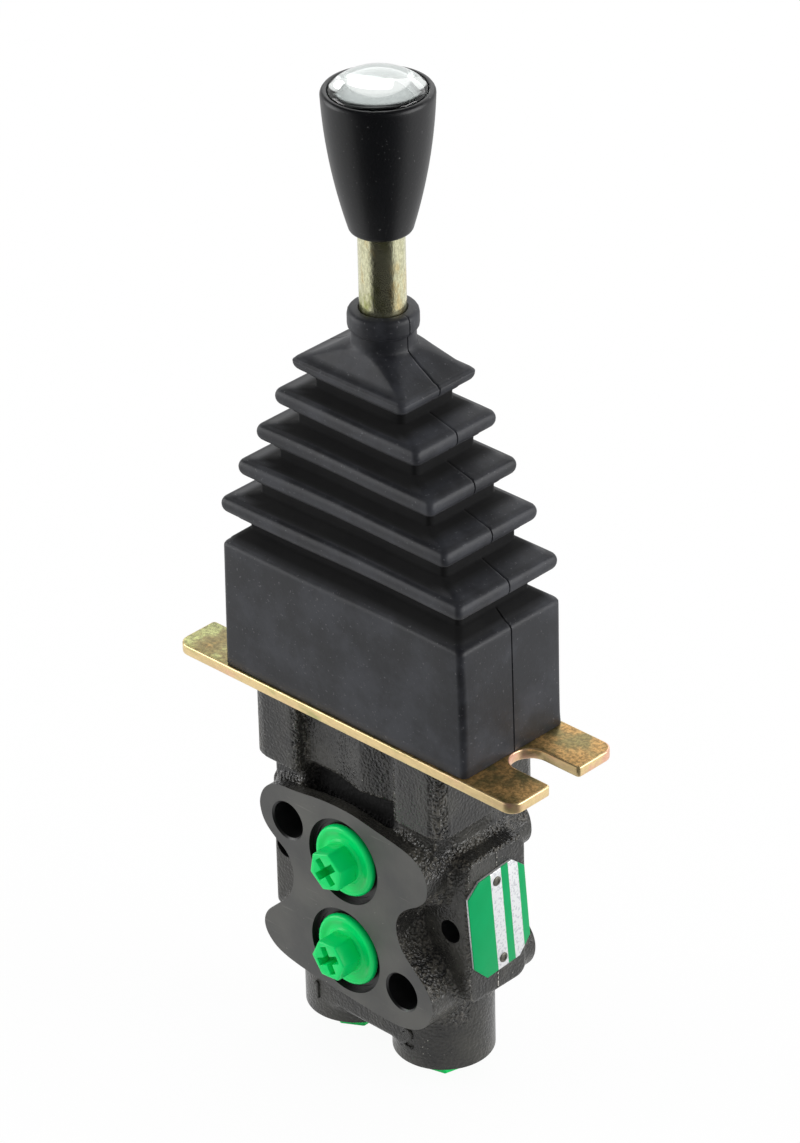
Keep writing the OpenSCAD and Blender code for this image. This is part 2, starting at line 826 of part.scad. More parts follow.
body_casting();
flange_plate();
pivot_bracket();
boot_retainer();
flange_screws();
boot();
guide_bush(-column_x);  // guide_bush_1
guide_bush(column_x);  // guide_bush_2
bush_seal(-column_x);  // bush_seal_1
bush_seal(column_x);  // bush_seal_2
wiper_seal(-column_x);  // wiper_seal_1
wiper_seal(column_x);  // wiper_seal_2
spring_shim(-column_x);  // spring_shim_1
spring_shim(column_x);  // spring_shim_2
return_spring(-column_x);  // return_spring_1
return_spring(column_x);  // return_spring_2
metering_spring(-column_x);  // metering_spring_1
metering_spring(column_x);  // metering_spring_2
plunger(-column_x);  // plunger_1
plunger(column_x);  // plunger_2
spring_seat(-column_x);  // spring_seat_1
spring_seat(column_x);  // spring_seat_2
metering_spool(-column_x);  // metering_spool_1
metering_spool(column_x);  // metering_spool_2
line_plug(tank_z, 20);  // tank_plug
line_plug(pressure_z, 5);  // pressure_plug
work_plug(-boss_x, 0);  // work_plug_1
work_plug(boss_x, 15);  // work_plug_2
name_plate();
plate_rivets();
pivot_pin();
pivot_circlips();
rocker();
rocker_bushes();
adjusting_screws();
lever_rod();
rod_lock_nut();
knob();
knob_insert();
knob_disc();
knob_cap();
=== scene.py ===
import math
import random

import bmesh
import bpy
from mathutils import Matrix, Vector


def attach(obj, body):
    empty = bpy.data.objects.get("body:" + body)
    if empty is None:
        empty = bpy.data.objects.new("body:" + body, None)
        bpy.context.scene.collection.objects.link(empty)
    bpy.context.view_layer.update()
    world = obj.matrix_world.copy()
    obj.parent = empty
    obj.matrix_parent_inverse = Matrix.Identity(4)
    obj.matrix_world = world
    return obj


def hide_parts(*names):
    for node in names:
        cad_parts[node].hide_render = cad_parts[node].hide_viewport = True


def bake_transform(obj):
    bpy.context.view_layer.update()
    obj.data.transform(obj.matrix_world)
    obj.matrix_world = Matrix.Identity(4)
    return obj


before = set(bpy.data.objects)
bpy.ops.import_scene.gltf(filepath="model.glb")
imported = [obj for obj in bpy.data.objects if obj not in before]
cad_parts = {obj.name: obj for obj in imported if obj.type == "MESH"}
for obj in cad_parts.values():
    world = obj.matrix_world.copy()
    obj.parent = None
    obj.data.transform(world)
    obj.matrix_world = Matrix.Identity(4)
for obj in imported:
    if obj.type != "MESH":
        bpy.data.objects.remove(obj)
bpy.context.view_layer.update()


# Casting
# The valve body is one grey iron casting, sand cast and painted dark grey. Its front and
# rear faces, the ends of the lower bosses and the port seats are machined flat, and the
# rest keeps the grain of the sand under the paint, with soft fillets in every corner.
MM = 0.001
FACE_Y = 16.5
BLOCK_TOP = -2.5
BLOCK_BOTTOM = -19.5
NECK_Y = 9.6
PAD_Y = 9.3
PAD_Z = -45.3
BOSS_X = 13.4
BOSS_R = 11.45
BOSS_END = -84.8
TANK_Z = -35.4
PRESSURE_Z = -58.6
PORT_R = 5.9
LINE_SEAT_T = 1.6
WORK_SEAT_T = 1.8
TIE_R = 4.35
TIE_HOLES_XZ = ((-16.8, -32.1), (16.8, -61.9))
SIDE_HOLE_R = 2.75
SIDE_HOLE_X = 24.9
SIDE_HOLE_Z = -45.9
COLUMN_X = 8.5
CHAMBER_R = 7.25
SCREW_X = 22
PAINT = (0.050, 0.050, 0.049, 1)
PAINT_PALE = (0.082, 0.081, 0.074, 1)
SCRATCH = (0.16, 0.155, 0.14, 1)
ROUGH_PAINT = (0.011, 0.011, 0.0108, 1)
ROUGH_PAINT_PALE = (0.036, 0.035, 0.030, 1)
GRAIN_TOP_GLINT = (0.135, 0.125, 0.105, 1)
CHIP = (0.42, 0.40, 0.36, 1)
GAP_SHADE = (0.002, 0.002, 0.002, 1)
# Painted shade for the inside of the drilled holes, near black with a slightly paler mottle
BORE_SHADE = (0.003, 0.003, 0.0035, 1)
BORE_SHADE_PALE = (0.012, 0.012, 0.012, 1)

# Outline of the lobed body in X and Z, from its left waist down and round
LOBES = [
    (-20.6, -38.3), (-17.3, -40.3), (-15.8, -43), (-15.4, -46), (-15.9, -49.5),
    (-17.8, -53), (-21.4, -56.2), (-24.3, -59), (-25.4, -62.2), (-24.2, -65.4),
    (-20.6, -68.2), (-12.2, -69.8), (0, -70.6), (10, -71.4), (17, -71.4),
    (22.4, -69.4), (25.4, -66), (26.2, -61.9), (24.9, -58.4), (21.2, -54.8),
    (17.5, -51.5), (15.9, -48.3), (15.4, -45.1), (16.2, -42.1), (18.6, -39.4),
    (22.8, -36.9), (25.0, -34.2), (25.2, -30.8), (24.1, -27.6), (21.6, -25.5),
    (17.7, -24.2), (8.9, -22.9), (2.5, -21.8), (-6.2, -22), (-13.7, -23.3),
    (-20.2, -23.7), (-23.7, -26.1), (-25.4, -30), (-24.9, -33.6), (-23.3, -36.2),
]


def softened(outline, rounds=2):
    """Cuts every corner of a closed outline, in rounds that leave it smoother each time."""
    for _ in range(rounds):
        out = []
        for i, a in enumerate(outline):
            b = outline[(i + 1) % len(outline)]
            out.append((a[0] * 0.75 + b[0] * 0.25, a[1] * 0.75 + b[1] * 0.25))
            out.append((a[0] * 0.25 + b[0] * 0.75, a[1] * 0.25 + b[1] * 0.75))
        outline = out
    return outline


def prism(outline, low, high, place=None):
    """A closed prism over an outline in X and Y, from low to high, moved by place."""
    place = place or Matrix.Identity(4)
    n = len(outline)
    points = [place @ Vector((x, y, h)) for h in (low, high) for x, y in outline]
    faces = [tuple(reversed(range(n))), tuple(range(n, 2 * n))]
    faces += [(i, (i + 1) % n, n + (i + 1) % n, n + i) for i in range(n)]
    return points, faces


def block(x0, x1, y0, y1, z0, z1):
    return prism([(x0, y0), (x1, y0), (x1, y1), (x0, y1)], z0, z1)


def arc(x, y, r, start, end, steps):
    """Points on an arc round (x, y), from one angle in degrees to another."""
    angles = [math.radians(start + (end - start) * k / steps) for k in range(steps + 1)]
    return [(x + r * math.cos(a), y + r * math.sin(a)) for a in angles]


def rounded(hx, hy, r, steps=6):
    """A rectangle of half sizes hx and hy with round corners."""
    x, y = hx - r, hy - r
    return (arc(x, y, r, 0, 90, steps) + arc(-x, y, r, 90, 180, steps)
            + arc(-x, -y, r, 180, 270, steps) + arc(x, -y, r, 270, 360, steps))


def turned(profile, place=None, n=64):
    """A closed turned form. The profile is (radius, height), from the axis back to the axis."""
    place = place or Matrix.Identity(4)
    points, faces, rows = [], [], []
    for r, z in profile:
        if r < 1e-6:
            rows.append([len(points)])
            points.append(place @ Vector((0, 0, z)))
        else:
            rows.append(list(range(len(points), len(points) + n)))
            for k in range(n):
                a = 2 * math.pi * k / n
                points.append(place @ Vector((r * math.cos(a), r * math.sin(a), z)))
    for low, high in zip(rows, rows[1:]):
        for k in range(n):
            m = (k + 1) % n
            ring = [low[k % len(low)], low[m % len(low)], high[m % len(high)], high[k % len(high)]]
            faces.append(tuple(dict.fromkeys(ring)))
    return points, faces


def solid(name, parts, shade=35, material_index=0):
    """One object made of closed parts, given in millimetres."""
    bm = bmesh.new()
    for points, faces in parts:
        verts = [bm.verts.new(Vector(p) * MM) for p in points]
        for f in faces:
            if len(f) > 2:
                bm.faces.new([verts[i] for i in f]).material_index = material_index
    bmesh.ops.recalc_face_normals(bm, faces=bm.faces[:])
    mesh = bpy.data.meshes.new(name)
    bm.to_mesh(mesh)
    bm.free()
    mesh.shade_smooth()
    mesh.set_sharp_from_angle(angle=math.radians(shade))
    obj = bpy.data.objects.new(name, mesh)
    bpy.context.scene.collection.objects.link(obj)
    return obj


def applied(obj, shade=35):
    """Turns the object's modifiers into its mesh."""
    bpy.context.view_layer.update()
    graph = bpy.context.evaluated_depsgraph_get()
    mesh = bpy.data.meshes.new_from_object(obj.evaluated_get(graph))
    obj.modifiers.clear()
    obj.data = mesh
    mesh.shade_smooth()
    mesh.set_sharp_from_angle(angle=math.radians(shade))


def joined(base, other):
    """Adds the mesh of another object to the base's mesh, and removes that object."""
    bm = bmesh.new()
    bm.from_mesh(base.data)
    bm.from_mesh(other.data)
    bm.to_mesh(base.data)
    bm.free()
    bpy.data.objects.remove(other)


def eased_edge(obj, width, segments=3, over=None):
    """Rounds the edges, or only those that turn by more than a number of degrees."""
    step = obj.modifiers.new("eased_edge", "BEVEL")
    step.width = width * MM
    step.segments = segments
    if over:
        step.limit_method = "ANGLE"
        step.angle_limit = math.radians(over)


def carve(obj, tool, operation):
    """Keeps what lies inside the tool with INTERSECT, and takes it away with DIFFERENCE."""
    step = obj.modifiers.new(operation, "BOOLEAN")
    step.operation = operation
    step.object = tool
    step.solver = "MANIFOLD"
    step.material_mode = "INDEX"


def along(axis, at):
    """Places the height of a turned form or prism along a direction, from a point."""
    turn = Vector((0, 0, 1)).rotation_difference(Vector(axis)).to_matrix().to_4x4()
    return Matrix.Translation(at) @ turn


def both_sides(half):
    """An outline and its mirror image across the X axis, joined."""
    return half + [(x, -y) for x, y in reversed(half)]


# Outlines of the front half of the upper block: its wavy recess, and the pad at each end
recess_line = [(-14.1, -12.2), (-9, -12.0), (-5, -12.1), (-1.2, -12.9), (3, -13.7),
               (7, -12.9), (10.6, -12.1), (13.3, -12.1)]
left_pad = [(-14.1, -12.2), (-14.6, -14.9), (-16.2, -15.3), (-24.6, -15.3), (-26.9, -14.6),
            (-27.9, -12.6)]
right_pad = [(13.3, -12.1), (13.8, -14.8), (15.4, -15.3), (24.6, -15.3), (26.9, -14.6),
             (27.9, -12.6)]

# Outline of the lobed body between its two faces, lower behind the face where the gap is
middle = [p for p in LOBES if not (-13.7 <= p[0] <= 12 and p[1] > -25)]
gap_at = max(i for i, p in enumerate(middle) if p[0] > 12 and p[1] > -25) + 1
middle[gap_at:gap_at] = [(11.8, -23.6), (10.6, -26), (-12.4, -26), (-13.4, -23.8)]

upright = Matrix(((1, 0, 0, 0), (0, 0, 1, 0), (0, 1, 0, 0), (0, 0, 0, 1)))
sideways = Matrix(((0, 0, 1, 0), (1, 0, 0, 0), (0, 1, 0, PAD_Z), (0, 0, 0, 1)))
boss_profile = [(0, -90), (BOSS_R, -90), (BOSS_R, -57), (0, -57)]
casting = solid("casting", [
    prism(both_sides(left_pad), BLOCK_BOTTOM, 2),
    prism(both_sides(right_pad), BLOCK_BOTTOM, 2),
    prism(both_sides(recess_line), -17.8, 2),
    prism(rounded(24.5, NECK_Y, 4), -30, -17),
    block(11.6, 24, -12.6, 12.6, -30, BLOCK_BOTTOM + 1),
    block(-24, -14.4, -12.6, 12.6, -30, BLOCK_BOTTOM + 1),
    prism(softened(LOBES), -19.5, -13.2, upright),
    prism(softened(LOBES), 13.2, 19.5, upright),
    prism(softened(middle), -13.4, 13.4, upright),
    prism(rounded(23.5, PAD_Y, 4), -68, -24),
    prism(rounded(24.8, 14, 4), -38.4, -27),
    prism(rounded(PAD_Y, 18.3, 2.6), 15, 30.1, sideways),
    prism(rounded(PAD_Y, 18.1, 2.6), -28.6, -15, sideways),
    turned(boss_profile, Matrix.Translation((BOSS_X, 0, 0))),
    turned(boss_profile, Matrix.Translation((-BOSS_X, 0, 0))),
    block(-BOSS_X, BOSS_X, -BOSS_R, BOSS_R, BOSS_END + 4.3, -60),
])
melt = casting.modifiers.new("melt", "REMESH")
melt.mode = "VOXEL"
melt.voxel_size = 0.45 * MM
applied(casting)


def filleted(obj, rounds, reach, eased):
    """Smooths the inner corners of a dense mesh over rounds, then all of it over eased."""
    sunk = 0.045 * MM
    ways = {"factor": 0.5, "use_axis_x": True, "use_axis_y": True, "use_axis_z": True}
    bm = bmesh.new()
    bm.from_mesh(obj.data)
    bm.normal_update()
    hollow = set()
    for v in bm.verts:
        centre = sum((e.other_vert(v).co for e in v.link_edges), Vector()) / len(v.link_edges)
        if (centre - v.co).dot(v.normal) > sunk:
            hollow.add(v)
    for _ in range(reach):
        hollow |= {e.other_vert(v) for v in hollow for e in v.link_edges}
    hollow = list(hollow)
    for _ in range(rounds):
        bmesh.ops.smooth_vert(bm, verts=hollow, **ways)
    for _ in range(eased):
        bmesh.ops.smooth_vert(bm, verts=bm.verts[:], **ways)
    bm.to_mesh(obj.data)
    bm.free()


filleted(casting, rounds=30, reach=3, eased=6)

# The flat faces are cut to size, and then the holes are drilled
machining = solid("machining", [block(-45, 45, -FACE_Y, FACE_Y, BOSS_END, BLOCK_TOP)],
                  material_index=1)
drills = []
for z in (TANK_Z, PRESSURE_Z):
    drills.append(turned(
        [(0, -3), (10.3, -3), (10.3, LINE_SEAT_T), (9.4, LINE_SEAT_T), (9.4, 1.9), (7, 1.9),
         (PORT_R, 3), (PORT_R, 13.6), (2.5, 15.4), (2.5, 16.5), (0, 16.5)],
        along((0, 1, 0), (0, -FACE_Y, z))))
for x, z in TIE_HOLES_XZ:
    drills.append(turned(
        [(0, -3), (4.75, -3), (4.75, 0), (TIE_R, 0.4), (TIE_R, 32.6), (4.75, 33), (4.75, 36),
         (0, 36)],
        along((0, 1, 0), (x, -FACE_Y, z))))
for s in (-1, 1):
    drills.append(turned(
        [(0, -9), (SIDE_HOLE_R, -9), (SIDE_HOLE_R, 27.6), (0, 27.6)],
        along((0, 1, 0), (s * SIDE_HOLE_X, -PAD_Y, SIDE_HOLE_Z)), 40))
    drills.append(turned(
        [(0, 3), (CHAMBER_R, 3), (CHAMBER_R, -24), (2.52, -24), (2.52, -60.5), (2, -61), (2, -67),
         (0, -67)],
        along((0, 0, 1), (s * COLUMN_X, 0, BLOCK_TOP))))
    drills.append(turned(
        [(0, -3), (9.4, -3), (9.4, WORK_SEAT_T), (7, WORK_SEAT_T), (PORT_R, 2.8), (PORT_R, 13.8),
         (0, 13.8)],
        along((0, 0, 1), (s * BOSS_X, 0, BOSS_END))))
    drills.append(turned(
        [(0, 3), (2.1, 3), (2.1, -13), (0, -14)],
        along((0, 0, 1), (s * SCREW_X, 0, BLOCK_TOP)), 32))
drill_set = solid("drill_set", drills, material_index=2)
carve(casting, machining, "INTERSECT")
carve(casting, drill_set, "DIFFERENCE")


def shader_group(name, inputs, outputs):
    """An empty node group with named sockets, and its input and output nodes."""
    tree = bpy.data.node_groups.new(name, "ShaderNodeTree")
    for label, kind, value in inputs:
        socket = tree.interface.new_socket(label, in_out="INPUT", socket_type=kind)
        socket.default_value = value
    for label, kind in outputs:
        tree.interface.new_socket(label, in_out="OUTPUT", socket_type=kind)
    return tree, tree.nodes.new("NodeGroupInput"), tree.nodes.new("NodeGroupOutput")


def add(tree, kind, links=None, **settings):
    """A node with its settings. Names of inputs take a value, or a socket to link."""
    node = tree.nodes.new(kind)
    for key, value in settings.items():
        setattr(node, key, value)
    for key, value in (links or {}).items():
        if isinstance(value, bpy.types.NodeSocket):
            tree.links.new(value, node.inputs[key])
        else:
            node.inputs[key].default_value = value
    return node


def place_on(tree):
    """The place on the object itself, in metres."""
    return add(tree, "ShaderNodeTexCoord").outputs["Object"]


def calc(tree, operation, a, b=0.0, clamp=False):
    node = add(tree, "ShaderNodeMath", {0: a, 1: b}, operation=operation, use_clamp=clamp)
    return node.outputs[0]


def times(tree, a, b):
    return calc(tree, "MULTIPLY", a, b)


def plus(tree, a, b, clamp=False):
    return calc(tree, "ADD", a, b, clamp)


def blend_colour(tree, share, a, b):
    """The colour a where the share is 0, and b where it is 1."""
    node = add(tree, "ShaderNodeMix", data_type="RGBA")
    for socket, value in ((node.inputs[0], share), (node.inputs[6], a), (node.inputs[7], b)):
        if isinstance(value, bpy.types.NodeSocket):
            tree.links.new(value, socket)
        else:
            socket.default_value = value
    return node.outputs[2]


def ramp(tree, value, low, high):
    """A smooth step from 0 at low to 1 at high."""
    node = add(tree, "ShaderNodeMapRange", {"Value": value, "From Min": low, "From Max": high},
               interpolation_type="SMOOTHSTEP")
    return node.outputs[0]


def noise(tree, vector, scale, detail=2.0, rough=0.5):
    links = {"Vector": vector, "Scale": scale, "Detail": detail, "Roughness": rough}
    return add(tree, "ShaderNodeTexNoise", links).outputs["Fac"]


def material(name, colour, roughness, metallic=0.0, **sockets):
    """A material with a plain shader. Further sockets are named with _ for each space."""
    mat = bpy.data.materials.new(name)
    mat.use_nodes = True
    tree = mat.node_tree
    shader = tree.nodes["Principled BSDF"]
    shader.inputs["Base Color"].default_value = colour
    shader.inputs["Roughness"].default_value = roughness
    shader.inputs["Metallic"].default_value = metallic
    for label, value in sockets.items():
        shader.inputs[label.replace("_", " ")].default_value = value
    return mat, tree, shader


def bump(tree, shader, height, distance):
    """Raises the surface by a height times a distance in millimetres."""
    node = add(tree, "ShaderNodeBump", {"Height": height, "Distance": distance * MM, "Strength": 1.0})
    tree.links.new(node.outputs[0], shader.inputs["Normal"])


# Sand grain under paint: a fine and a coarse noise, with the chips where the paint is gone
grain_group, g_in, g_out = shader_group(
    "sand_grain",
    [("Grain", "NodeSocketFloat", 1500.0), ("Swell", "NodeSocketFloat", 330.0),
     ("Chip Amount", "NodeSocketFloat", 0.0)],
    [("Height", "NodeSocketFloat"), ("Cloud", "NodeSocketFloat"), ("Chips", "NodeSocketFloat")])
place = place_on(grain_group)
fine = noise(grain_group, place, g_in.outputs["Grain"], 1.0, 0.4)
coarse = noise(grain_group, place, g_in.outputs["Swell"], 2.0)
height = plus(grain_group, times(grain_group, fine, 0.75), times(grain_group, coarse, 0.5))
grain_group.links.new(height, g_out.inputs["Height"])
grain_group.links.new(noise(grain_group, place, 70.0, 3.0), g_out.inputs["Cloud"])
specks = noise(grain_group, place, 2100.0, 1.0)
patches = noise(grain_group, place, 120.0, 2.0)
level = calc(grain_group, "SUBTRACT", 1.02, times(grain_group, g_in.outputs["Chip Amount"], patches))
chips = ramp(grain_group, calc(grain_group, "SUBTRACT", specks, level), -0.14, -0.08)
grain_group.links.new(chips, g_out.inputs["Chips"])

rough_paint, tree, shader = material("rough_cast_paint", ROUGH_PAINT, 0.4)
grain = add(tree, "ShaderNodeGroup", {"Chip Amount": 0.22}, node_tree=grain_group)
cloudy = ramp(tree, grain.outputs["Cloud"], 0.35, 0.7)
colour = blend_colour(tree, cloudy, ROUGH_PAINT, ROUGH_PAINT_PALE)
spot = place_on(tree)
split = add(tree, "ShaderNodeSeparateXYZ", {"Vector": spot})

# The grain is strong where the surface turns, and weak on the flat pads and on the bosses
facing = add(tree, "ShaderNodeTexCoord").outputs["Normal"]
facing = add(tree, "ShaderNodeVectorMath", {0: facing}, operation="ABSOLUTE").outputs[0]
facing = add(tree, "ShaderNodeSeparateXYZ", {"Vector": facing})
flat = calc(tree, "MAXIMUM", facing.outputs["Y"], facing.outputs["Z"])
flat = calc(tree, "MAXIMUM", facing.outputs["X"], flat)
above_ends = ramp(tree, split.outputs["Z"], -0.075, -0.069)
turning = times(tree, ramp(tree, flat, 0.99, 0.93), above_ends)
# The tops of the grain are painted pale, more where the surface turns: partly the grain's own lighter
# tops, partly painted glints where the grain would catch the light
peak_glints = times(tree, ramp(tree, grain.outputs["Height"], 0.52, 0.84),
              plus(tree, times(tree, turning, 0.42), 0.08))
colour = blend_colour(tree, peak_glints, colour, GRAIN_TOP_GLINT)

# The parting line of the mould runs down the right side pad, and its paint is partly worn
off_middle = calc(tree, "ABSOLUTE", split.outputs["Y"])
on_seam = times(tree, ramp(tree, off_middle, 0.0003, 0.0001),
                ramp(tree, split.outputs["X"], 0.0285, 0.0292))
broken = ramp(tree, noise(tree, spot, 900.0, 2.0), 0.46, 0.56)
colour = blend_colour(tree, times(tree, on_seam, broken), colour, CHIP)
colour = blend_colour(tree, grain.outputs["Chips"], colour, CHIP)

# Painted shade: the gap behind the upper edge of each machined face is painted near black and made
# rough, where little light reaches
painted_gap_shade = times(tree, ramp(tree, off_middle, 0.0133, 0.0129),
               ramp(tree, split.outputs["Z"], -0.0272, -0.0258))
painted_gap_shade = times(tree, painted_gap_shade, ramp(tree, split.outputs["Z"], -0.0165, -0.0205))
off_end = calc(tree, "ABSOLUTE", split.outputs["X"])
painted_gap_shade = times(tree, painted_gap_shade, ramp(tree, off_end, 0.0165, 0.011))
colour = blend_colour(tree, painted_gap_shade, colour, GAP_SHADE)
tree.links.new(colour, shader.inputs["Base Color"])
dull = plus(tree, times(tree, grain.outputs["Cloud"], 0.25), 0.14)
dull = plus(tree, dull, times(tree, painted_gap_shade, 0.5), clamp=True)
tree.links.new(dull, shader.inputs["Roughness"])
relief = times(tree, calc(tree, "SUBTRACT", grain.outputs["Height"], 0.62),
               plus(tree, times(tree, turning, 0.75), 0.25))
bump(tree, shader, plus(tree, relief, times(tree, on_seam, 0.8)), 1.1)

smooth_paint, tree, shader = material("machined_paint", PAINT, 0.42)
grain = add(tree, "ShaderNodeGroup", {"Grain": 900.0, "Swell": 90.0, "Chip Amount": 0.16},
            node_tree=grain_group)
cloudy = ramp(tree, grain.outputs["Cloud"], 0.3, 0.7)
colour = blend_colour(tree, cloudy, PAINT, PAINT_PALE)
spot = place_on(tree)
drawn_out = add(tree, "ShaderNodeMapping",
                {"Vector": spot, "Rotation": (0, 0.5, 0), "Scale": (0.06, 1, 1.6)}).outputs[0]
scratches = times(tree, ramp(tree, noise(tree, drawn_out, 1300.0, 2.0), 0.66, 0.74),
                  ramp(tree, noise(tree, spot, 150.0, 1.0), 0.45, 0.65))
colour = blend_colour(tree, times(tree, scratches, 0.5), colour, SCRATCH)
colour = blend_colour(tree, grain.outputs["Chips"], colour, CHIP)
tree.links.new(colour, shader.inputs["Base Color"])
bump(tree, shader, grain.outputs["Height"], 0.03)

# Painted shade: the inside of every drilled hole is painted near black, with a faint mottle, for the
# shade deep in the bores
bore_painted_shade, tree, shader = material("bore_painted_shade", (0.006, 0.006, 0.0065, 1), 0.35)
bore_mottle = noise(tree, place_on(tree), 400.0, 2.0)
tree.links.new(blend_colour(tree, bore_mottle, BORE_SHADE, BORE_SHADE_PALE), shader.inputs["Base Color"])
bump(tree, shader, bore_mottle, 0.02)

for part in (casting, machining, drill_set):
    for mat in (rough_paint, smooth_paint, bore_painted_shade):
        part.data.materials.append(mat)
applied(casting, 40)
for tool in (machining, drill_set):
    bpy.data.objects.remove(tool)


def stroke(line, width):
    """A flat ribbon along a line in X and Z, as a closed outline."""
    left, right = [], []
    for i, (x, z) in enumerate(line):
        a = line[max(i - 1, 0)]
        b = line[min(i + 1, len(line) - 1)]
        size = math.hypot(b[0] - a[0], b[1] - a[1])
        nx, nz = -(b[1] - a[1]) / size * width / 2, (b[0] - a[0]) / size * width / 2
        left.append((x + nx, z + nz))
        right.append((x - nx, z - nz))
    return left + right[::-1]


# Raised port numbers 1 and 2, cast on the fronts of the bosses. Each has its middle in X
# and Z, and then its strokes round that middle.
MARK_W = 0.75
bow = [(-1.35 * math.cos(math.radians(a)), 1.0 + 1.3 * math.sin(math.radians(a)))
       for a in range(0, 181, 20)]
number_lines = [
    (-14.3, -78.2, [[(-0.9, 1.2), (0.1, 2.2)], [(0.1, 2.2), (0.1, -2.2)]]),
    (13.1, -78.3, [bow + [(1.2, 0.4), (-1.45, -2.2)], [(-1.6, -2.2), (1.6, -2.2)]]),
]
marks = []
for x, z, lines in number_lines:
    to_front = Matrix(((1, 0, 0, x), (0, 0, 1, -BOSS_R), (0, 1, 0, z), (0, 0, 0, 1)))
    marks += [prism(stroke(line, MARK_W), -0.45, 1.0, to_front) for line in lines]
numbers = solid("port_numbers", marks)
eased_edge(numbers, 0.18)
applied(numbers)
joined(casting, numbers)
casting.data.set_sharp_from_angle(angle=math.radians(40))
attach(casting, "valve_body")
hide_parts("body_casting")


# Port plugs
# Four green plastic transport plugs are screwed into the ports by hand. Each is moulded
# in one piece: a round flange that lies on the seat, a hexagon and a cross recess.
PLUG_FLANGE_T = 1.8
LINE_PLUG_HEX = 4.95
WORK_PLUG_HEX = 5.6
HEX_H = 5.4
CROSS_REACH = 3.3
CROSS_HALF = 0.9
CROSS_FLOOR = 2.2
GREEN = (0.0, 0.62, 0.135, 1)
GREEN_PALE = (0.0, 0.74, 0.165, 1)

plug_green, tree, shader = material("plug_plastic", GREEN, 0.25, Specular_IOR_Level=0.22)
spot = place_on(tree)
tree.links.new(blend_colour(tree, noise(tree, spot, 180.0), GREEN, GREEN_PALE),
               shader.inputs["Base Color"])
bump(tree, shader, noise(tree, spot, 420.0), 0.05)


def plug(name, place, turn, node, size):
    """A plug with its flange face on z = 0 and a hexagon of a given radius above it."""
    flange = turned([(0, -PLUG_FLANGE_T), (8.1, -PLUG_FLANGE_T), (8.4, -1.6), (8.5, -1.2),
                     (8.45, -0.75), (8.25, -0.3), (7.9, -0.05), (7.45, 0), (7.0, -0.15),
                     (6.5, -0.4), (6.0, -0.45), (5.4, -0.35), (5.0, 0.1), (0, 0.3)])
    thread = [(0, -11), (4.9, -11), (5.5, -10.4)]
    for k in range(7):
        thread += [(5.85, -9.9 + 1.1 * k), (5.45, -9.4 + 1.1 * k)]
    shank = turned(thread + [(5.5, -1.7), (0, -1.7)], n=48)
    corners = [math.radians(turn + 60 * k) for k in range(6)]
    hexagon = prism([(size * math.cos(a), size * math.sin(a)) for a in corners], -0.6, HEX_H)
    head = solid(name + "_head", [hexagon])
    eased_edge(head, 0.35)
    spin = Matrix.Rotation(math.radians(turn + 22), 4, "Z")
    r, h = CROSS_REACH, CROSS_HALF
    cross = prism([(-r, -h), (-h, -h), (-h, -r), (h, -r), (h, -h), (r, -h),
                   (r, h), (h, h), (h, r), (-h, r), (-h, h), (-r, h)], CROSS_FLOOR, 7, spin)
    recess = solid(name + "_recess", [cross])
    carve(head, recess, "DIFFERENCE")
    applied(head)
    eased_edge(head, 0.14, segments=2, over=50)
    applied(head)
    bpy.data.objects.remove(recess)
    body = solid(name, [flange, shank])
    joined(body, head)
    body.data.shade_smooth()
    body.data.set_sharp_from_angle(angle=math.radians(35))
    body.data.materials.append(plug_green)
    body.matrix_world = Matrix.Translation(place.translation * MM) @ place.to_3x3().to_4x4()
    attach(body, "valve_body")
    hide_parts(node)


line_plug_y = -FACE_Y + LINE_SEAT_T - PLUG_FLANGE_T
for name, z, turn, node in (("tank_port_plug", TANK_Z, 20, "tank_plug"),
                            ("pressure_port_plug", PRESSURE_Z, 5, "pressure_plug")):
    plug(name, along((0, -1, 0), (0, line_plug_y, z)), turn, node, LINE_PLUG_HEX)
for name, x, turn, node in (("left_port_plug", -BOSS_X, 0, "work_plug_1"),
                            ("right_port_plug", BOSS_X, 15, "work_plug_2")):
    plug(name, along((0, 0, -1), (x, 0, BOSS_END)), turn, node, WORK_PLUG_HEX)


# Name plate
# A thin aluminium plate with its corners cut off is fixed to the pad on the side with two
# tubular rivets, a bit askew. It is printed green with two bare silver bands.
PLATE_W = 17.8
PLATE_H = 26.2
PLATE_T = 0.8
PLATE_CUT = 3.7
PLATE_TURN = 5
PLATE_X = 30
PLATE_Z = -44.8
RIVET_Y = 10.4
BANDS = ((-1.7, 1.6), (3.8, 6.8))
PLATE_GREEN = (0.0, 0.26, 0.078, 1)
PLATE_GREEN_PALE = (0.0, 0.31, 0.10, 1)
PLATE_SILVER = (0.70, 0.71, 0.72, 1)
PLATE_SILVER_DARK = (0.52, 0.53, 0.56, 1)

w, h, c = PLATE_W / 2, PLATE_H / 2, PLATE_CUT
plate_outline = [(-w, -h + c + 1), (-w + c, -h + 0.2), (w - c, -h), (w, -h + c),
                 (w, h - c), (w - c, h), (-w + c, h), (-w, h - c + 1)]
plate = solid("name_plate_printed", [prism(plate_outline, 0, PLATE_T)])
eased_edge(plate, 0.18)
applied(plate)
on_pad = (Matrix.Translation((PLATE_X * MM, 0, PLATE_Z * MM))
          @ Matrix.Rotation(math.radians(PLATE_TURN), 4, "X")
          @ Matrix(((0, 0, 1, 0), (1, 0, 0, 0), (0, 1, 0, 0), (0, 0, 0, 1))))
plate.matrix_world = on_pad

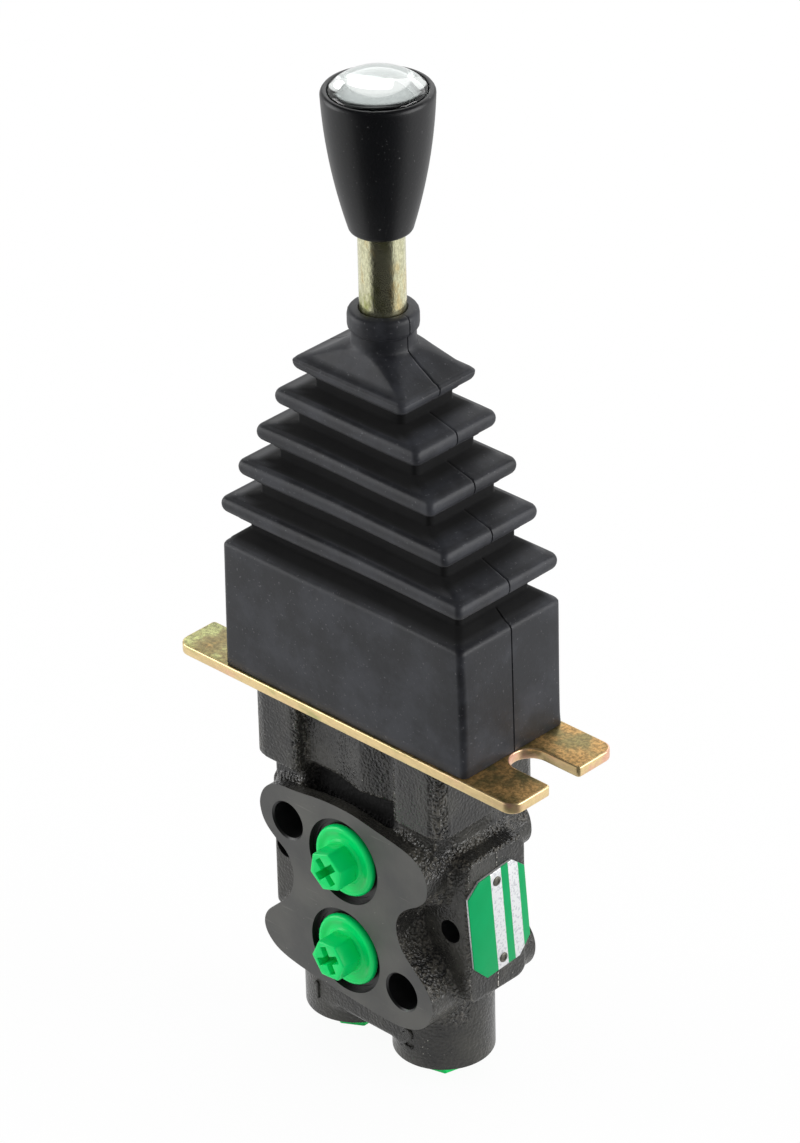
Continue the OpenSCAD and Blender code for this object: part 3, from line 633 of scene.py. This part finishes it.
plate_print, tree, shader = material("plate_print", PLATE_GREEN, 0.38, Specular_IOR_Level=0.12)
spot = place_on(tree)
split = add(tree, "ShaderNodeSeparateXYZ", {"Vector": spot})
wobble = times(tree, calc(tree, "SUBTRACT", noise(tree, spot, 900.0), 0.5), 0.00012)
across = plus(tree, split.outputs["X"], wobble)
bare = ramp(tree, split.outputs["Z"], 0.62 * MM, 0.5 * MM)
for low, high in BANDS:
    band = times(tree, ramp(tree, across, (low - 0.04) * MM, (low + 0.04) * MM),
                 ramp(tree, across, (high + 0.04) * MM, (high - 0.04) * MM))
    bare = calc(tree, "MAXIMUM", bare, band)
flecks = ramp(tree, noise(tree, spot, 1600.0), 0.52, 0.62)
silver = blend_colour(tree, flecks, PLATE_SILVER, PLATE_SILVER_DARK)
green = blend_colour(tree, noise(tree, spot, 200.0, 3.0), PLATE_GREEN, PLATE_GREEN_PALE)
tree.links.new(blend_colour(tree, bare, green, silver), shader.inputs["Base Color"])
tree.links.new(times(tree, bare, 0.55), shader.inputs["Metallic"])
bump(tree, shader, noise(tree, spot, 1500.0), 0.02)
plate.data.materials.append(plate_print)
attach(plate, "valve_body")
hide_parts("name_plate")

rivet_steel, tree, shader = material("rivet_steel", (0.10, 0.098, 0.088, 1), 0.42, 0.8)
spot = place_on(tree)
stained = blend_colour(tree, noise(tree, spot, 1500.0), (0.06, 0.058, 0.05, 1), (0.2, 0.19, 0.16, 1))
tree.links.new(stained, shader.inputs["Base Color"])
bump(tree, shader, noise(tree, spot, 1200.0), 0.06)
rivet_profile = [(0, 0), (0.8, 0), (0.8, PLATE_T), (1.15, PLATE_T), (1.13, 0.98), (0.95, 1.1),
                 (0.62, 1.12), (0.5, 0.94), (0, 0.92)]
rivets = solid("plate_rivets_domed", [
    turned(rivet_profile, Matrix.Translation((0.1, s * RIVET_Y, 0)), 32) for s in (-1, 1)])
rivets.matrix_world = on_pad
rivets.data.materials.append(rivet_steel)
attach(rivets, "valve_body")
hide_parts("plate_rivets")


# Flange plate
# The mounting flange is stamped from 2.5 mm steel sheet and zinc plated with a yellow
# passivation, which turns from olive to gold and pink over its faces. Its edges are kept gold
# and pink, which is partly a painted highlight. Two socket screws under the boot hold it to
# the casting, and an open slot at each end takes an M8 screw.
FLANGE_X = 50
FLANGE_Y = 16
FLANGE_T = 2.5
CORNER_R = 3
MOUTH_R = 0.8
SLOT_X = 40.2
SLOT_R = 4.4
ZINC_OLIVE = (0.27, 0.215, 0.085, 1)
ZINC_BROWN = (0.66, 0.40, 0.15, 1)
ZINC_GREEN = (0.40, 0.42, 0.16, 1)
ZINC_DARK = (0.10, 0.082, 0.035, 1)
ZINC_GOLD = (0.86, 0.66, 0.34, 1)
ZINC_PINK = (0.88, 0.52, 0.36, 1)


def half_flange(s):
    """Half of the outline, from the middle of the near edge round the slot to the far edge."""
    corner_x, corner_y = FLANGE_X - CORNER_R, FLANGE_Y - CORNER_R
    mouth_x, mouth_y = FLANGE_X - MOUTH_R, SLOT_R + MOUTH_R
    points = (arc(corner_x, -corner_y, CORNER_R, -90, 0, 6)
              + arc(mouth_x, -mouth_y, MOUTH_R, 0, 90, 4)
              + arc(SLOT_X, 0, SLOT_R, -90, -270, 16)
              + arc(mouth_x, mouth_y, MOUTH_R, -90, 0, 4)
              + arc(corner_x, corner_y, CORNER_R, 0, 90, 6))
    return [(s * x, s * y) for x, y in points]


flange = solid("flange_stamped", [prism(half_flange(1) + half_flange(-1), -FLANGE_T, 0)])
bores = solid("flange_bores", [
    turned([(0, -5), (r, -5), (r, 3), (0, 3)], Matrix.Translation((x, 0, 0)), 40)
    for x, r in ((-COLUMN_X, 6), (COLUMN_X, 6), (-SCREW_X, 2.75), (SCREW_X, 2.75))])
eased_edge(flange, 0.32, over=60)
carve(flange, bores, "DIFFERENCE")

# Yellow zinc: a thin film of changing colour, dulled by fine flecks
zinc_group, z_in, z_out = shader_group(
    "yellow_zinc",
    [("Base", "NodeSocketColor", ZINC_OLIVE), ("Tint", "NodeSocketColor", ZINC_BROWN),
     ("Stretch", "NodeSocketVector", (1, 1, 1)), ("Mottle", "NodeSocketFloat", 0.6)],
    [("Color", "NodeSocketColor"), ("Height", "NodeSocketFloat"), ("Shade", "NodeSocketFloat")])
place = add(zinc_group, "ShaderNodeVectorMath", {0: place_on(zinc_group), 1: z_in.outputs["Stretch"]},
            operation="MULTIPLY").outputs[0]
drift = add(zinc_group, "ShaderNodeSeparateXYZ", {"Vector": place}).outputs["X"]
film = plus(zinc_group, noise(zinc_group, place, 110.0, 4.0, 0.65), times(zinc_group, drift, 2.2))
flecks = noise(zinc_group, place, 1100.0, 3.0, 0.7)
colour = blend_colour(zinc_group, ramp(zinc_group, film, 0.5, 0.66),
                      z_in.outputs["Base"], z_in.outputs["Tint"])
colour = blend_colour(zinc_group, ramp(zinc_group, film, 0.46, 0.32), colour, ZINC_GREEN)
mottled = times(zinc_group, z_in.outputs["Mottle"], ramp(zinc_group, flecks, 0.62, 0.38))
colour = blend_colour(zinc_group, mottled, colour, ZINC_DARK)
zinc_group.links.new(colour, z_out.inputs["Color"])
zinc_group.links.new(flecks, z_out.inputs["Height"])
zinc_group.links.new(film, z_out.inputs["Shade"])

zinc_face, tree, shader = material("zinc_face", ZINC_OLIVE, 0.4, 0.85)
zinc = add(tree, "ShaderNodeGroup", node_tree=zinc_group)
tree.links.new(zinc.outputs["Color"], shader.inputs["Base Color"])
tree.links.new(ramp(tree, zinc.outputs["Shade"], -0.4, 1.8), shader.inputs["Roughness"])
bump(tree, shader, zinc.outputs["Height"], 0.05)
zinc_edge_and_highlight, tree, shader = material("zinc_edge_and_highlight", ZINC_GOLD, 0.3, 0.85)
zinc = add(tree, "ShaderNodeGroup",
           {"Base": ZINC_GOLD, "Tint": ZINC_PINK, "Stretch": (0.35, 1, 1), "Mottle": 0.12},
           node_tree=zinc_group)
tree.links.new(zinc.outputs["Color"], shader.inputs["Base Color"])
bump(tree, shader, zinc.outputs["Height"], 0.02)
for part in (flange, bores):
    part.data.materials.append(zinc_face)
    part.data.materials.append(zinc_edge_and_highlight)
applied(flange)
bpy.data.objects.remove(bores)
# The flat faces take the olive film and all other faces the gold and pink one: partly the film's own
# colour on the edges, partly a painted highlight there
for face in flange.data.polygons:
    face.material_index = 0 if abs(face.normal.z) > 0.97 else 1
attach(flange, "valve_body")
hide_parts("flange_plate")


# Pivot bracket and retainer
# A bent steel bracket with two ears stands on the flange and carries the pivot pin. A thin
# frame clamps the foot of the boot round it, and two socket screws hold both down.
def dress(node, mat):
    """Gives a node of the frame its material."""
    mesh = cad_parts[node].data
    mesh.materials.clear()
    mesh.materials.append(mat)
    for face in mesh.polygons:
        face.material_index = 0


def metal(name, colour, other, roughness, metallic=1.0, grain=700.0, stretch=(1, 1, 1)):
    """A worked metal, with a fine grain that may run along one direction."""
    mat, tree, shader = material(name, colour, roughness, metallic)
    spot = add(tree, "ShaderNodeVectorMath", {0: place_on(tree), 1: stretch},
               operation="MULTIPLY").outputs[0]
    fine = noise(tree, spot, grain, 3.0, 0.6)
    tree.links.new(blend_colour(tree, fine, colour, other), shader.inputs["Base Color"])
    dull = plus(tree, times(tree, fine, 0.2), roughness - 0.1)
    tree.links.new(dull, shader.inputs["Roughness"])
    bump(tree, shader, fine, 0.03)
    return mat


dress("pivot_bracket", zinc_face)
dress("boot_retainer", zinc_face)
screw_steel = metal("screw_steel", (0.34, 0.34, 0.35, 1), (0.24, 0.24, 0.25, 1), 0.35)
dress("flange_screws", screw_steel)


# Plungers and spools
# Each side has a bronze guide bush with its ring seal and wiper, a ground plunger with a
# spring seat, a return spring on a shim, and a metering spring on a ground spool.
bronze = metal("bearing_bronze", (0.52, 0.34, 0.13, 1), (0.42, 0.27, 0.10, 1), 0.35,
               stretch=(1, 1, 6))
ground_steel = metal("ground_steel", (0.56, 0.56, 0.58, 1), (0.46, 0.46, 0.48, 1), 0.22,
                     stretch=(1, 1, 8))
spring_steel = metal("spring_steel", (0.22, 0.22, 0.23, 1), (0.14, 0.14, 0.15, 1), 0.35)
seal_rubber, tree, shader = material("seal_rubber", (0.035, 0.075, 0.066, 1), 0.5)
spot = place_on(tree)
cloud = blend_colour(tree, noise(tree, spot, 500.0), (0.025, 0.055, 0.05, 1), (0.05, 0.1, 0.09, 1))
tree.links.new(cloud, shader.inputs["Base Color"])
bump(tree, shader, noise(tree, spot, 900.0), 0.03)
for n in "12":
    dress("guide_bush_" + n, bronze)
    dress("bush_seal_" + n, seal_rubber)
    dress("wiper_seal_" + n, seal_rubber)
    dress("spring_shim_" + n, screw_steel)
    dress("return_spring_" + n, spring_steel)
    dress("metering_spring_" + n, spring_steel)
    dress("plunger_" + n, ground_steel)
    dress("spring_seat_" + n, screw_steel)
    dress("metering_spool_" + n, ground_steel)


# Pivot and rocker
# The lever turns on a ground pin between the ears, held by two circlips. The rocker is a
# phosphated forging with bronze bushes, and its two screws press on the plungers.
phosphate = metal("phosphated_steel", (0.085, 0.085, 0.09, 1), (0.05, 0.05, 0.055, 1), 0.5, 0.7)
dress("pivot_pin", ground_steel)
dress("pivot_circlips", spring_steel)
dress("rocker", phosphate)
dress("rocker_bushes", bronze)
dress("adjusting_screws", phosphate)


# Boot
# The bellows boot is moulded in one piece from black nitrile rubber. Its foot is clamped
# on the flange, its collar grips the rod, and a mould line runs down each end.
BASE_X = 35.7
BASE_Y = 15.5
BASE_LEAN = 0.5 / 30
INSIDE_X = 28
INSIDE_Y = 10.9
ROOT_IN = 3.4
LOWEST_ROOT_IN = 4.4
ROOF_IN = 1.5
ROOF_Z = 3.31
TOP_LIP_LOWER = 0.8
NECK_R = 6.9
NECK_Z = 85.9
ROD_HOLE_R = 5.08
COLLAR_TOP = 93.9
RUBBER_T = 1.8
MOULD_LINE = 0.42
FOLD_REACH = 3.9
FOLD_FADE = 2.2
PLEAT_SHIFT = 0.3
WAVE = 0.28

# Half length, half width and height of each pleat, from the top one down
PLEATS = [(16.2, 11.4, 78.5), (20.95, 12.38, 68.68), (25.7, 13.35, 58.85),
          (30.45, 14.33, 49.03), (35.2, 15.3, 38.6)]

RUBBER = (0.007, 0.0078, 0.011, 1)
RUBBER_PALE = (0.026, 0.028, 0.035, 1)
RUBBER_DUST = (0.16, 0.16, 0.17, 1)
FOLD_SHADE = (0.0006, 0.0006, 0.001, 1)


def boot_ring(hx, hy, r, z, cut=0.0, is_round=False):
    """One ring of the skin. The middle of each end carries the cut of the mould line."""
    if is_round:
        r = hx - 1.3
    sx, sy = hx - r, hy - r
    lip, groove = min(0.62, 0.3 * sy), min(0.2, 0.12 * sy)
    ends = [-0.75 * sy, -0.45 * sy, -lip, -groove, 0, groove, lip, 0.45 * sy, 0.75 * sy]
    longs = [sx * t for t in (0.82, 0.6, 0.36, 0.12, -0.12, -0.36, -0.6, -0.82)]
    points = arc(sx, sy, r, 0, 90, 6)
    points += [(x, hy) for x in longs]
    points += arc(-sx, sy, r, 90, 180, 6)
    points += [(-hx, y) for y in reversed(ends)]
    points += arc(-sx, -sy, r, 180, 270, 6)
    points += [(-x, -hy) for x in longs]
    points += arc(sx, -sy, r, 270, 360, 6)
    points += [(hx, y) for y in ends]
    if is_round:
        points = [(x * hx / math.hypot(x, y), y * hx / math.hypot(x, y)) for x, y in points]
    if cut:
        points = [(x - math.copysign(cut, x), y) if abs(y) < 0.05 else (x, y) for x, y in points]
    return [(x, y, z) for x, y in points]


def fold_shade_at(ring, root):
    """How much painted shade each point of a roof's ring gets, from its distance to the root."""
    depths = []
    for x, y, z in ring:
        away = math.hypot(max(abs(x) - root[0], 0), max(abs(y) - root[1], 0))
        depths.append(min(max((FOLD_REACH - away) / FOLD_FADE, 0), 1))
    return depths


def lip_rows(deep, lower):
    """The rings of a pleat from its root over its lip to its roof. Each row is how far the ring
    lies inside the pleat, its height, its corner radius and how much painted shade it gets."""
    return (
        (deep - 0.12, -4.8, 1.5, 1), (deep, -4.45, 1.4, 1), (deep, -3.4, 1.4, 1),
        (deep - 0.05, -2.35, 1.4, 1), (deep - 0.35, -2.12, 1.4, 0.8), (2.62, -2.0, 1.5, 0.3),
        (2.42, -1.82, 1.5, 0.1), (2.36, -1.6, 1.5, 0.5), (2.42, -1.35, 1.5, 1),
        (2.8, -1.15, 1.4, 1), (2.8, -0.85, 1.4, 1), (2.2, -0.78, 1.4, 1),
        (1.4, -0.66, 1.4, 1), (0.86, -0.42, 1.4, 0.7), (0.46, -0.06, 1.4, 0.2),
        (0.2, 0.38, 1.4, 0), (0.05, 0.9, 1.4, 0), (0, 1.5, 1.4, 0),
        (0.06, 2.05 - lower / 2, 1.4, 0), (0.24, 2.55 - lower, 1.4, 0),
        (0.42, 2.84 - lower, 1.4, 0), (0.66, 3.04 - lower, 1.4, 0),
        (1.0, 3.18 - lower, 1.4, 0.1), (ROOF_IN, ROOF_Z - lower, 1.5, 0.2),
    )


def boot_skin():
    """The closed skin of the boot, with the painted shade of each of its points in the folds."""
    cut = MOULD_LINE
    rings = [boot_ring(INSIDE_X, INSIDE_Y, 1, 0), boot_ring(35.4, 15.2, 1.5, 0),
             boot_ring(BASE_X, BASE_Y, 1.6, 0.35, cut)]
    for z in (3, 7, 11, 15, 19, 23, 26, 28.4, 29.6):
        rings.append(boot_ring(BASE_X - BASE_LEAN * z, BASE_Y, 1.6, z, cut))
    for inset, z in ((0.05, 30.2), (0.22, 30.55), (0.5, 30.85), (0.9, 31.1)):
        rings.append(boot_ring(35.2 - inset, BASE_Y - inset, 1.5, z, cut))
    folds = [[0.0] * len(rings[0]) for ring in rings]
    last = (34.3, 14.6, 1.5, 31.1)
    for hx, hy, z in reversed(PLEATS):
        deep = LOWEST_ROOT_IN if z == PLEATS[-1][2] else ROOT_IN
        lower = TOP_LIP_LOWER if z == PLEATS[0][2] else 0.0
        root = (hx - deep + 0.5, hy - deep + 0.5, 1.6, z - 4.95)
        for t in (0.1, 0.2, 0.32, 0.45, 0.6, 0.75, 0.88, 1):
            rings.append(boot_ring(*(last[k] + (root[k] - last[k]) * t for k in range(4)), cut))
            folds.append(fold_shade_at(rings[-1], root))
        for inset, dz, r, fold in lip_rows(deep, lower):
            rings.append(boot_ring(hx - inset, hy - inset, r, z + dz, cut if inset < 2.5 else 0.0))
            folds.append([fold] * len(rings[-1]))
        last = (hx - ROOF_IN, hy - ROOF_IN, 1.5, z + ROOF_Z - lower)
    for t in (0.25, 0.5, 0.75, 0.9):
        hx = last[0] + (NECK_R - last[0]) * t
        hy = last[1] + (NECK_R - last[1]) * t
        z = last[3] + (NECK_Z - last[3]) * t - 0.25 * math.sin(math.pi * t)
        rings.append(boot_ring(hx, hy, 1.5 + 3.2 * t * t, z, cut))
    for r, z in ((7.1, NECK_Z), (6.93, 86.4), (NECK_R, 87.4), (NECK_R, 88.9), (6.95, 89.3), (7.3, 89.65),
                 (7.55, 90.0), (7.6, 90.4), (7.6, 92.6), (7.5, 93.2), (7.15, 93.7),
                 (6.6, COLLAR_TOP)):
        rings.append(boot_ring(r, r, 1, z, cut * 0.8, True))

    # The inside, from the collar down to the foot
    for r, z in ((5.3, COLLAR_TOP), (ROD_HOLE_R, 93.6), (ROD_HOLE_R, 86), (6.2, 83.6)):
        rings.append(boot_ring(r, r, 1, z, 0, True))
    for hx, hy, z in PLEATS:
        top = 1.4 if z == PLEATS[0][2] else 1.9
        deep = (LOWEST_ROOT_IN if z == PLEATS[-1][2] else ROOT_IN) + RUBBER_T
        for inset, r, dz in ((3.2, 0.8, top), (3.2, 0.8, 0.9), (deep, 0.6, 0.8), (deep, 0.6, -6.3)):
            rings.append(boot_ring(hx - inset, hy - inset, r, z + dz))
    rings += [boot_ring(33.2, 13.7, 1.4, 29.2), boot_ring(33.9, 13.7, 1.4, 2),
              boot_ring(INSIDE_X, INSIDE_Y, 1, 2)]
    folds += [[0.0] * len(rings[0])] * (len(rings) - len(folds))
    n = len(rings[0])
    points = [p for ring in rings for p in ring]
    faces = []
    for i in range(len(rings)):
        for k in range(n):
            a, b = i * n, ((i + 1) % len(rings)) * n
            faces.append((a + k, a + (k + 1) % n, b + (k + 1) % n, b + k))
    return points, faces, [fold for ring_folds in folds for fold in ring_folds]


skin_points, skin_faces, skin_fold_shades = boot_skin()
boot = solid("bellows_boot", [(skin_points, skin_faces)], shade=50)
# Painted shade: how much each point is darkened in the folds, where the pleats shade each other
painted_fold_shade = boot.data.attributes.new("painted_fold_shade", "FLOAT", "POINT")
painted_fold_shade.data.foreach_set("value", skin_fold_shades)

# The soft walls are not quite flat, and the pleats sit a little to the left
random.seed(4)
waves = [(random.uniform(0, 6.3), random.uniform(0.06, 0.16), random.uniform(0.05, 0.13))
         for _ in range(6)]
for v in boot.data.vertices:
    x, y, z = (q / MM for q in v.co)
    if 1 < z < 86 and abs(y) > 8:
        push = sum(math.sin(p + a * x + b * z) for p, a, b in waves) / 6
        v.co.y += push * WAVE * MM * (1 if y > 0 else -1)
    if 31.2 < z < 82:
        v.co.x -= PLEAT_SHIFT * MM
rest = boot.data.attributes.new("rest_place", "FLOAT_VECTOR", "POINT")
rest.data.foreach_set("vector", [q for v in boot.data.vertices for q in v.co])

rubber, tree, shader = material("boot_rubber", (0.014, 0.0145, 0.018, 1), 0.52, Sheen_Weight=0.05,
                                Sheen_Roughness=0.4, Specular_IOR_Level=0.42)
spot = add(tree, "ShaderNodeAttribute", attribute_name="rest_place").outputs["Vector"]
cloud = noise(tree, spot, 75.0, 5.0, 0.65)
dust = noise(tree, spot, 1500.0)
shade_in_fold = add(tree, "ShaderNodeAttribute", attribute_name="painted_fold_shade").outputs["Fac"]
colour = blend_colour(tree, ramp(tree, cloud, 0.38, 0.68), RUBBER, RUBBER_PALE)
colour = blend_colour(tree, times(tree, ramp(tree, dust, 0.66, 0.74), 0.35), colour, RUBBER_DUST)
# Painted shade: the rubber is painted near black and made rougher deep in the folds
colour = blend_colour(tree, shade_in_fold, colour, FOLD_SHADE)
tree.links.new(colour, shader.inputs["Base Color"])
dull = plus(tree, times(tree, cloud, 0.25), 0.40)
dull = plus(tree, dull, times(tree, shade_in_fold, 0.4), clamp=True)
tree.links.new(dull, shader.inputs["Roughness"])
bump(tree, shader, plus(tree, times(tree, dust, 0.3), noise(tree, spot, 300.0, 3.0)), 0.05)
boot.data.materials.append(rubber)
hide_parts("boot")
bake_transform(boot)


# Lever rod
# A plain steel rod, zinc plated like the flange. Its lower end is screwed into the rocker
# and locked by a nut, and its upper end into the insert of the knob.
ROD_R = 5
THREAD_R = 4
rod_profile = [(0, 19), (4.6, 19), (ROD_R, 19.4), (ROD_R, 113.2), (4.7, 113.5), (THREAD_R, 113.5),
               (THREAD_R, 131.3), (3.5, 131.8), (0, 131.8)]
rod = solid("lever_rod_plated", [turned(rod_profile, n=96)])
rod_zinc, tree, shader = material("rod_zinc", (0.62, 0.55, 0.30, 1), 0.16, 0.95)
zinc = add(tree, "ShaderNodeGroup",
           {"Base": (0.78, 0.77, 0.52, 1), "Tint": (0.74, 0.60, 0.30, 1),
            "Stretch": (1.6, 1.6, 0.8), "Mottle": 0.3},
           node_tree=zinc_group)
tree.links.new(zinc.outputs["Color"], shader.inputs["Base Color"])
bump(tree, shader, zinc.outputs["Height"], 0.06)
rod.data.materials.append(rod_zinc)
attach(rod, "lever")
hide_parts("lever_rod")
dress("rod_lock_nut", rod_zinc)


# Knob
# The knob is moulded in matte black plastic round a brass insert. In its top a silver
# disc lies under a clear lens, which is pressed into the rim with a narrow gap round it.
KNOB_Z = 111.8
FOOT_R = 6.9
FLARE = 4.95
SIDE_Z = 1.1
SIDE_H = 29.7
LENS_RIM = 143.75
LENS_H = 4.0
LENS_R = 10.25
KNOB_BLACK = (0.0018, 0.002, 0.0028, 1)
KNOB_BLACK_PALE = (0.0042, 0.0046, 0.006, 1)
KNOB_DUST = (0.16, 0.16, 0.16, 1)

foot = [(0, 2.7), (5.1, 2.7), (5.1, 0.05), (5.25, 0), (5.7, 0), (6.2, 0.12), (6.6, 0.42), (6.8, 0.75)]
side = [(FOOT_R + FLARE * (1.74 * t - 0.74 * t * t), SIDE_Z + SIDE_H * t)
        for t in [k / 24 for k in range(25)]]
rim = [(11.82, 31.1), (11.7, 31.4), (11.45, 31.75), (11.1, 31.9), (10.75, 31.9), (10.5, 31.75),
       (10.4, 31.45), (10.4, 29.8), (0, 29.8)]
knob_profile = [(r, z + KNOB_Z) for r, z in foot + side + rim]
knob = solid("knob_moulded", [turned(knob_profile, n=128)], shade=40)
knob_black, tree, shader = material("knob_plastic", KNOB_BLACK, 0.38, Specular_IOR_Level=0.38)
spot = place_on(tree)
colour = blend_colour(tree, noise(tree, spot, 120.0, 3.0), KNOB_BLACK, KNOB_BLACK_PALE)
specks = times(tree, ramp(tree, noise(tree, spot, 1900.0, 1.0), 0.72, 0.78), 0.4)
colour = blend_colour(tree, specks, colour, KNOB_DUST)
tree.links.new(colour, shader.inputs["Base Color"])
bump(tree, shader, noise(tree, spot, 1400.0), 0.02)
knob.data.materials.append(knob_black)
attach(knob, "lever")
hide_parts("knob")
dress("knob_insert", bronze)

disc_silver = metal("disc_silver", (0.82, 0.82, 0.83, 1), (0.68, 0.68, 0.70, 1), 0.22, grain=500.0)
dress("knob_disc", disc_silver)

ball_r = (LENS_R ** 2 + LENS_H ** 2) / (2 * LENS_H)
wall = [(0, 142.12), (9.9, 142.12), (LENS_R, 142.4), (LENS_R, 143.5), (10.15, LENS_RIM)]
dome = [(ball_r * math.sin(a), LENS_RIM + LENS_H - ball_r + ball_r * math.cos(a))
        for a in [math.asin(9.95 / ball_r) * (1 - k / 14) for k in range(14)]]
lens = solid("knob_lens", [turned(wall + dome + [(0, LENS_RIM + LENS_H)], n=96)], shade=50)
lens_clear, tree, shader = material("lens_clear", (0.94, 0.975, 0.955, 1), 0.015,
                                    Transmission_Weight=1.0, IOR=1.49)
bump(tree, shader, noise(tree, place_on(tree), 90.0, 1.0), 0.05)
lens.data.materials.append(lens_clear)
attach(lens, "lever")
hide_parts("knob_cap")


# Studio
# The valve stands on a white table in a white room, with a soft box on each side and one
# behind. The room is dark behind the camera and overhead, which shows in metal and paint.
CAMERA_AT = (0.71448, -0.72769, 0.63323)
CAMERA_AZ = 44.350
CAMERA_EL = 30.595
CAMERA_ROLL = -1.327
camera_data = bpy.data.cameras.new("camera")
camera_data.sensor_width = 36
camera_data.lens = 175.84
camera_data.clip_start = 0.05
camera_data.clip_end = 20
camera = bpy.data.objects.new("camera", camera_data)
bpy.context.scene.collection.objects.link(camera)
az, el, roll = (math.radians(a) for a in (CAMERA_AZ, CAMERA_EL, CAMERA_ROLL))
back = Vector((math.sin(az) * math.cos(el), -math.cos(az) * math.cos(el), math.sin(el)))
right = (-back).cross(Vector((0, 0, 1))).normalized()
up = right.cross(-back)
right, up = right * math.cos(roll) + up * math.sin(roll), up * math.cos(roll) - right * math.sin(roll)
camera_turn = Matrix((right, up, back)).transposed().to_4x4()
camera.matrix_world = Matrix.Translation(CAMERA_AT) @ camera_turn
bpy.context.scene.camera = camera

# What the room shows in a mirror: a white wall low down all round, but for the camera's side
room_group, r_in, r_out = shader_group(
    "white_room",
    [("Direction", "NodeSocketVector", (0, 0, 1)), ("Dark", "NodeSocketFloat", 0.03),
     ("Bright", "NodeSocketFloat", 0.8)],
    [("Strength", "NodeSocketFloat")])
level = add(room_group, "ShaderNodeVectorMath", {0: r_in.outputs["Direction"], 1: (1, 1, 0)},
            operation="MULTIPLY").outputs[0]
level = add(room_group, "ShaderNodeVectorMath", {0: level}, operation="NORMALIZE").outputs[0]
front_way = tuple(Vector((back.x, back.y, 0)).normalized())
toward = add(room_group, "ShaderNodeVectorMath", {0: level, 1: front_way},
             operation="DOT_PRODUCT").outputs["Value"]
whole = add(room_group, "ShaderNodeVectorMath", {0: r_in.outputs["Direction"]},
            operation="NORMALIZE").outputs[0]
lift = add(room_group, "ShaderNodeSeparateXYZ", {"Vector": whole}).outputs["Z"]
wall = times(room_group, ramp(room_group, toward, 0.75, 0.35), ramp(room_group, lift, 0.6, 0.28))
spread = calc(room_group, "SUBTRACT", r_in.outputs["Bright"], r_in.outputs["Dark"])
strength = plus(room_group, times(room_group, wall, spread), r_in.outputs["Dark"])
room_group.links.new(strength, r_out.inputs["Strength"])

# The table is white to the camera, shows the room in a mirror, and keeps the valve's shadow
floor = solid("table", [block(-3000, 3000, -3000, 3000, -93, -90.22)])
white, tree, shader = material("table_white", (0.8, 0.8, 0.8, 1), 0.6, Specular_IOR_Level=0.0)
place = place_on(tree)
room = add(tree, "ShaderNodeGroup", {"Direction": place, "Dark": 0.01, "Bright": 0.9},
           node_tree=room_group)
# Painted reflection: seen in a mirror, the table also glows brightly close round the valve, a painted
# pool of light
reach = add(tree, "ShaderNodeVectorMath", {0: place}, operation="LENGTH").outputs["Value"]
near = times(tree, ramp(tree, reach, 0.17, 0.105), 0.8)
path = add(tree, "ShaderNodeLightPath")
glow = add(tree, "ShaderNodeEmission", {"Color": (1, 1, 1, 1), "Strength": 1.0})
brightness = calc(tree, "MAXIMUM", room.outputs["Strength"], near)
mirrored = add(tree, "ShaderNodeEmission", {"Color": (1, 1, 1, 1), "Strength": brightness})
seen = calc(tree, "MAXIMUM", path.outputs["Is Camera Ray"], path.outputs["Is Transmission Ray"])
share = add(tree, "ShaderNodeMixShader", {0: times(tree, seen, 0.95)})
tree.links.new(shader.outputs[0], share.inputs[1])
tree.links.new(glow.outputs[0], share.inputs[2])
final = add(tree, "ShaderNodeMixShader", {0: path.outputs["Is Glossy Ray"]})
tree.links.new(share.outputs[0], final.inputs[1])
tree.links.new(mirrored.outputs[0], final.inputs[2])
tree.links.new(final.outputs[0], tree.nodes["Material Output"].inputs["Surface"])
floor.data.materials.append(white)

world = bpy.data.worlds.new("room")
bpy.context.scene.world = world
world.use_nodes = True
tree = world.node_tree
sky = tree.nodes["Background"]
direction = add(tree, "ShaderNodeTexCoord").outputs["Generated"]
room = add(tree, "ShaderNodeGroup", {"Direction": direction, "Dark": 0.01, "Bright": 0.8},
           node_tree=room_group)
path = add(tree, "ShaderNodeLightPath")
lit = add(tree, "ShaderNodeMix",
          {0: path.outputs["Is Glossy Ray"], 2: 0.65, 3: room.outputs["Strength"]},
          data_type="FLOAT").outputs[0]
seen = calc(tree, "MAXIMUM", path.outputs["Is Camera Ray"], path.outputs["Is Transmission Ray"])
strength = add(tree, "ShaderNodeMix", {0: seen, 2: lit, 3: 1.0}, data_type="FLOAT").outputs[0]
tree.links.new(strength, sky.inputs["Strength"])
sky.inputs["Color"].default_value = (1, 1, 1, 1)


def soft_box(name, azimuth, elevation, distance, size, power):
    """A soft box that faces the valve. The azimuth is measured from the camera's, to the right."""
    a = math.radians(CAMERA_AZ + azimuth)
    e = math.radians(elevation)
    lamp = bpy.data.lights.new(name, "AREA")
    lamp.shape = "RECTANGLE"
    lamp.size, lamp.size_y = size
    lamp.energy = power
    obj = bpy.data.objects.new(name, lamp)
    bpy.context.scene.collection.objects.link(obj)
    way = Vector((math.sin(a) * math.cos(e), -math.cos(a) * math.cos(e), math.sin(e)))
    obj.location = way * distance
    obj.rotation_mode = "QUATERNION"
    obj.rotation_quaternion = way.to_track_quat("Z", "Y")


soft_box("left_box", -100, 12, 1.1, (0.7, 0.9), 7.6)
soft_box("right_box", 72, 14, 1.1, (0.85, 0.9), 11.0)
soft_box("back_box", 164, 36, 1.3, (1.7, 0.75), 7.2)

scene = bpy.context.scene
scene.view_settings.view_transform = "Standard"
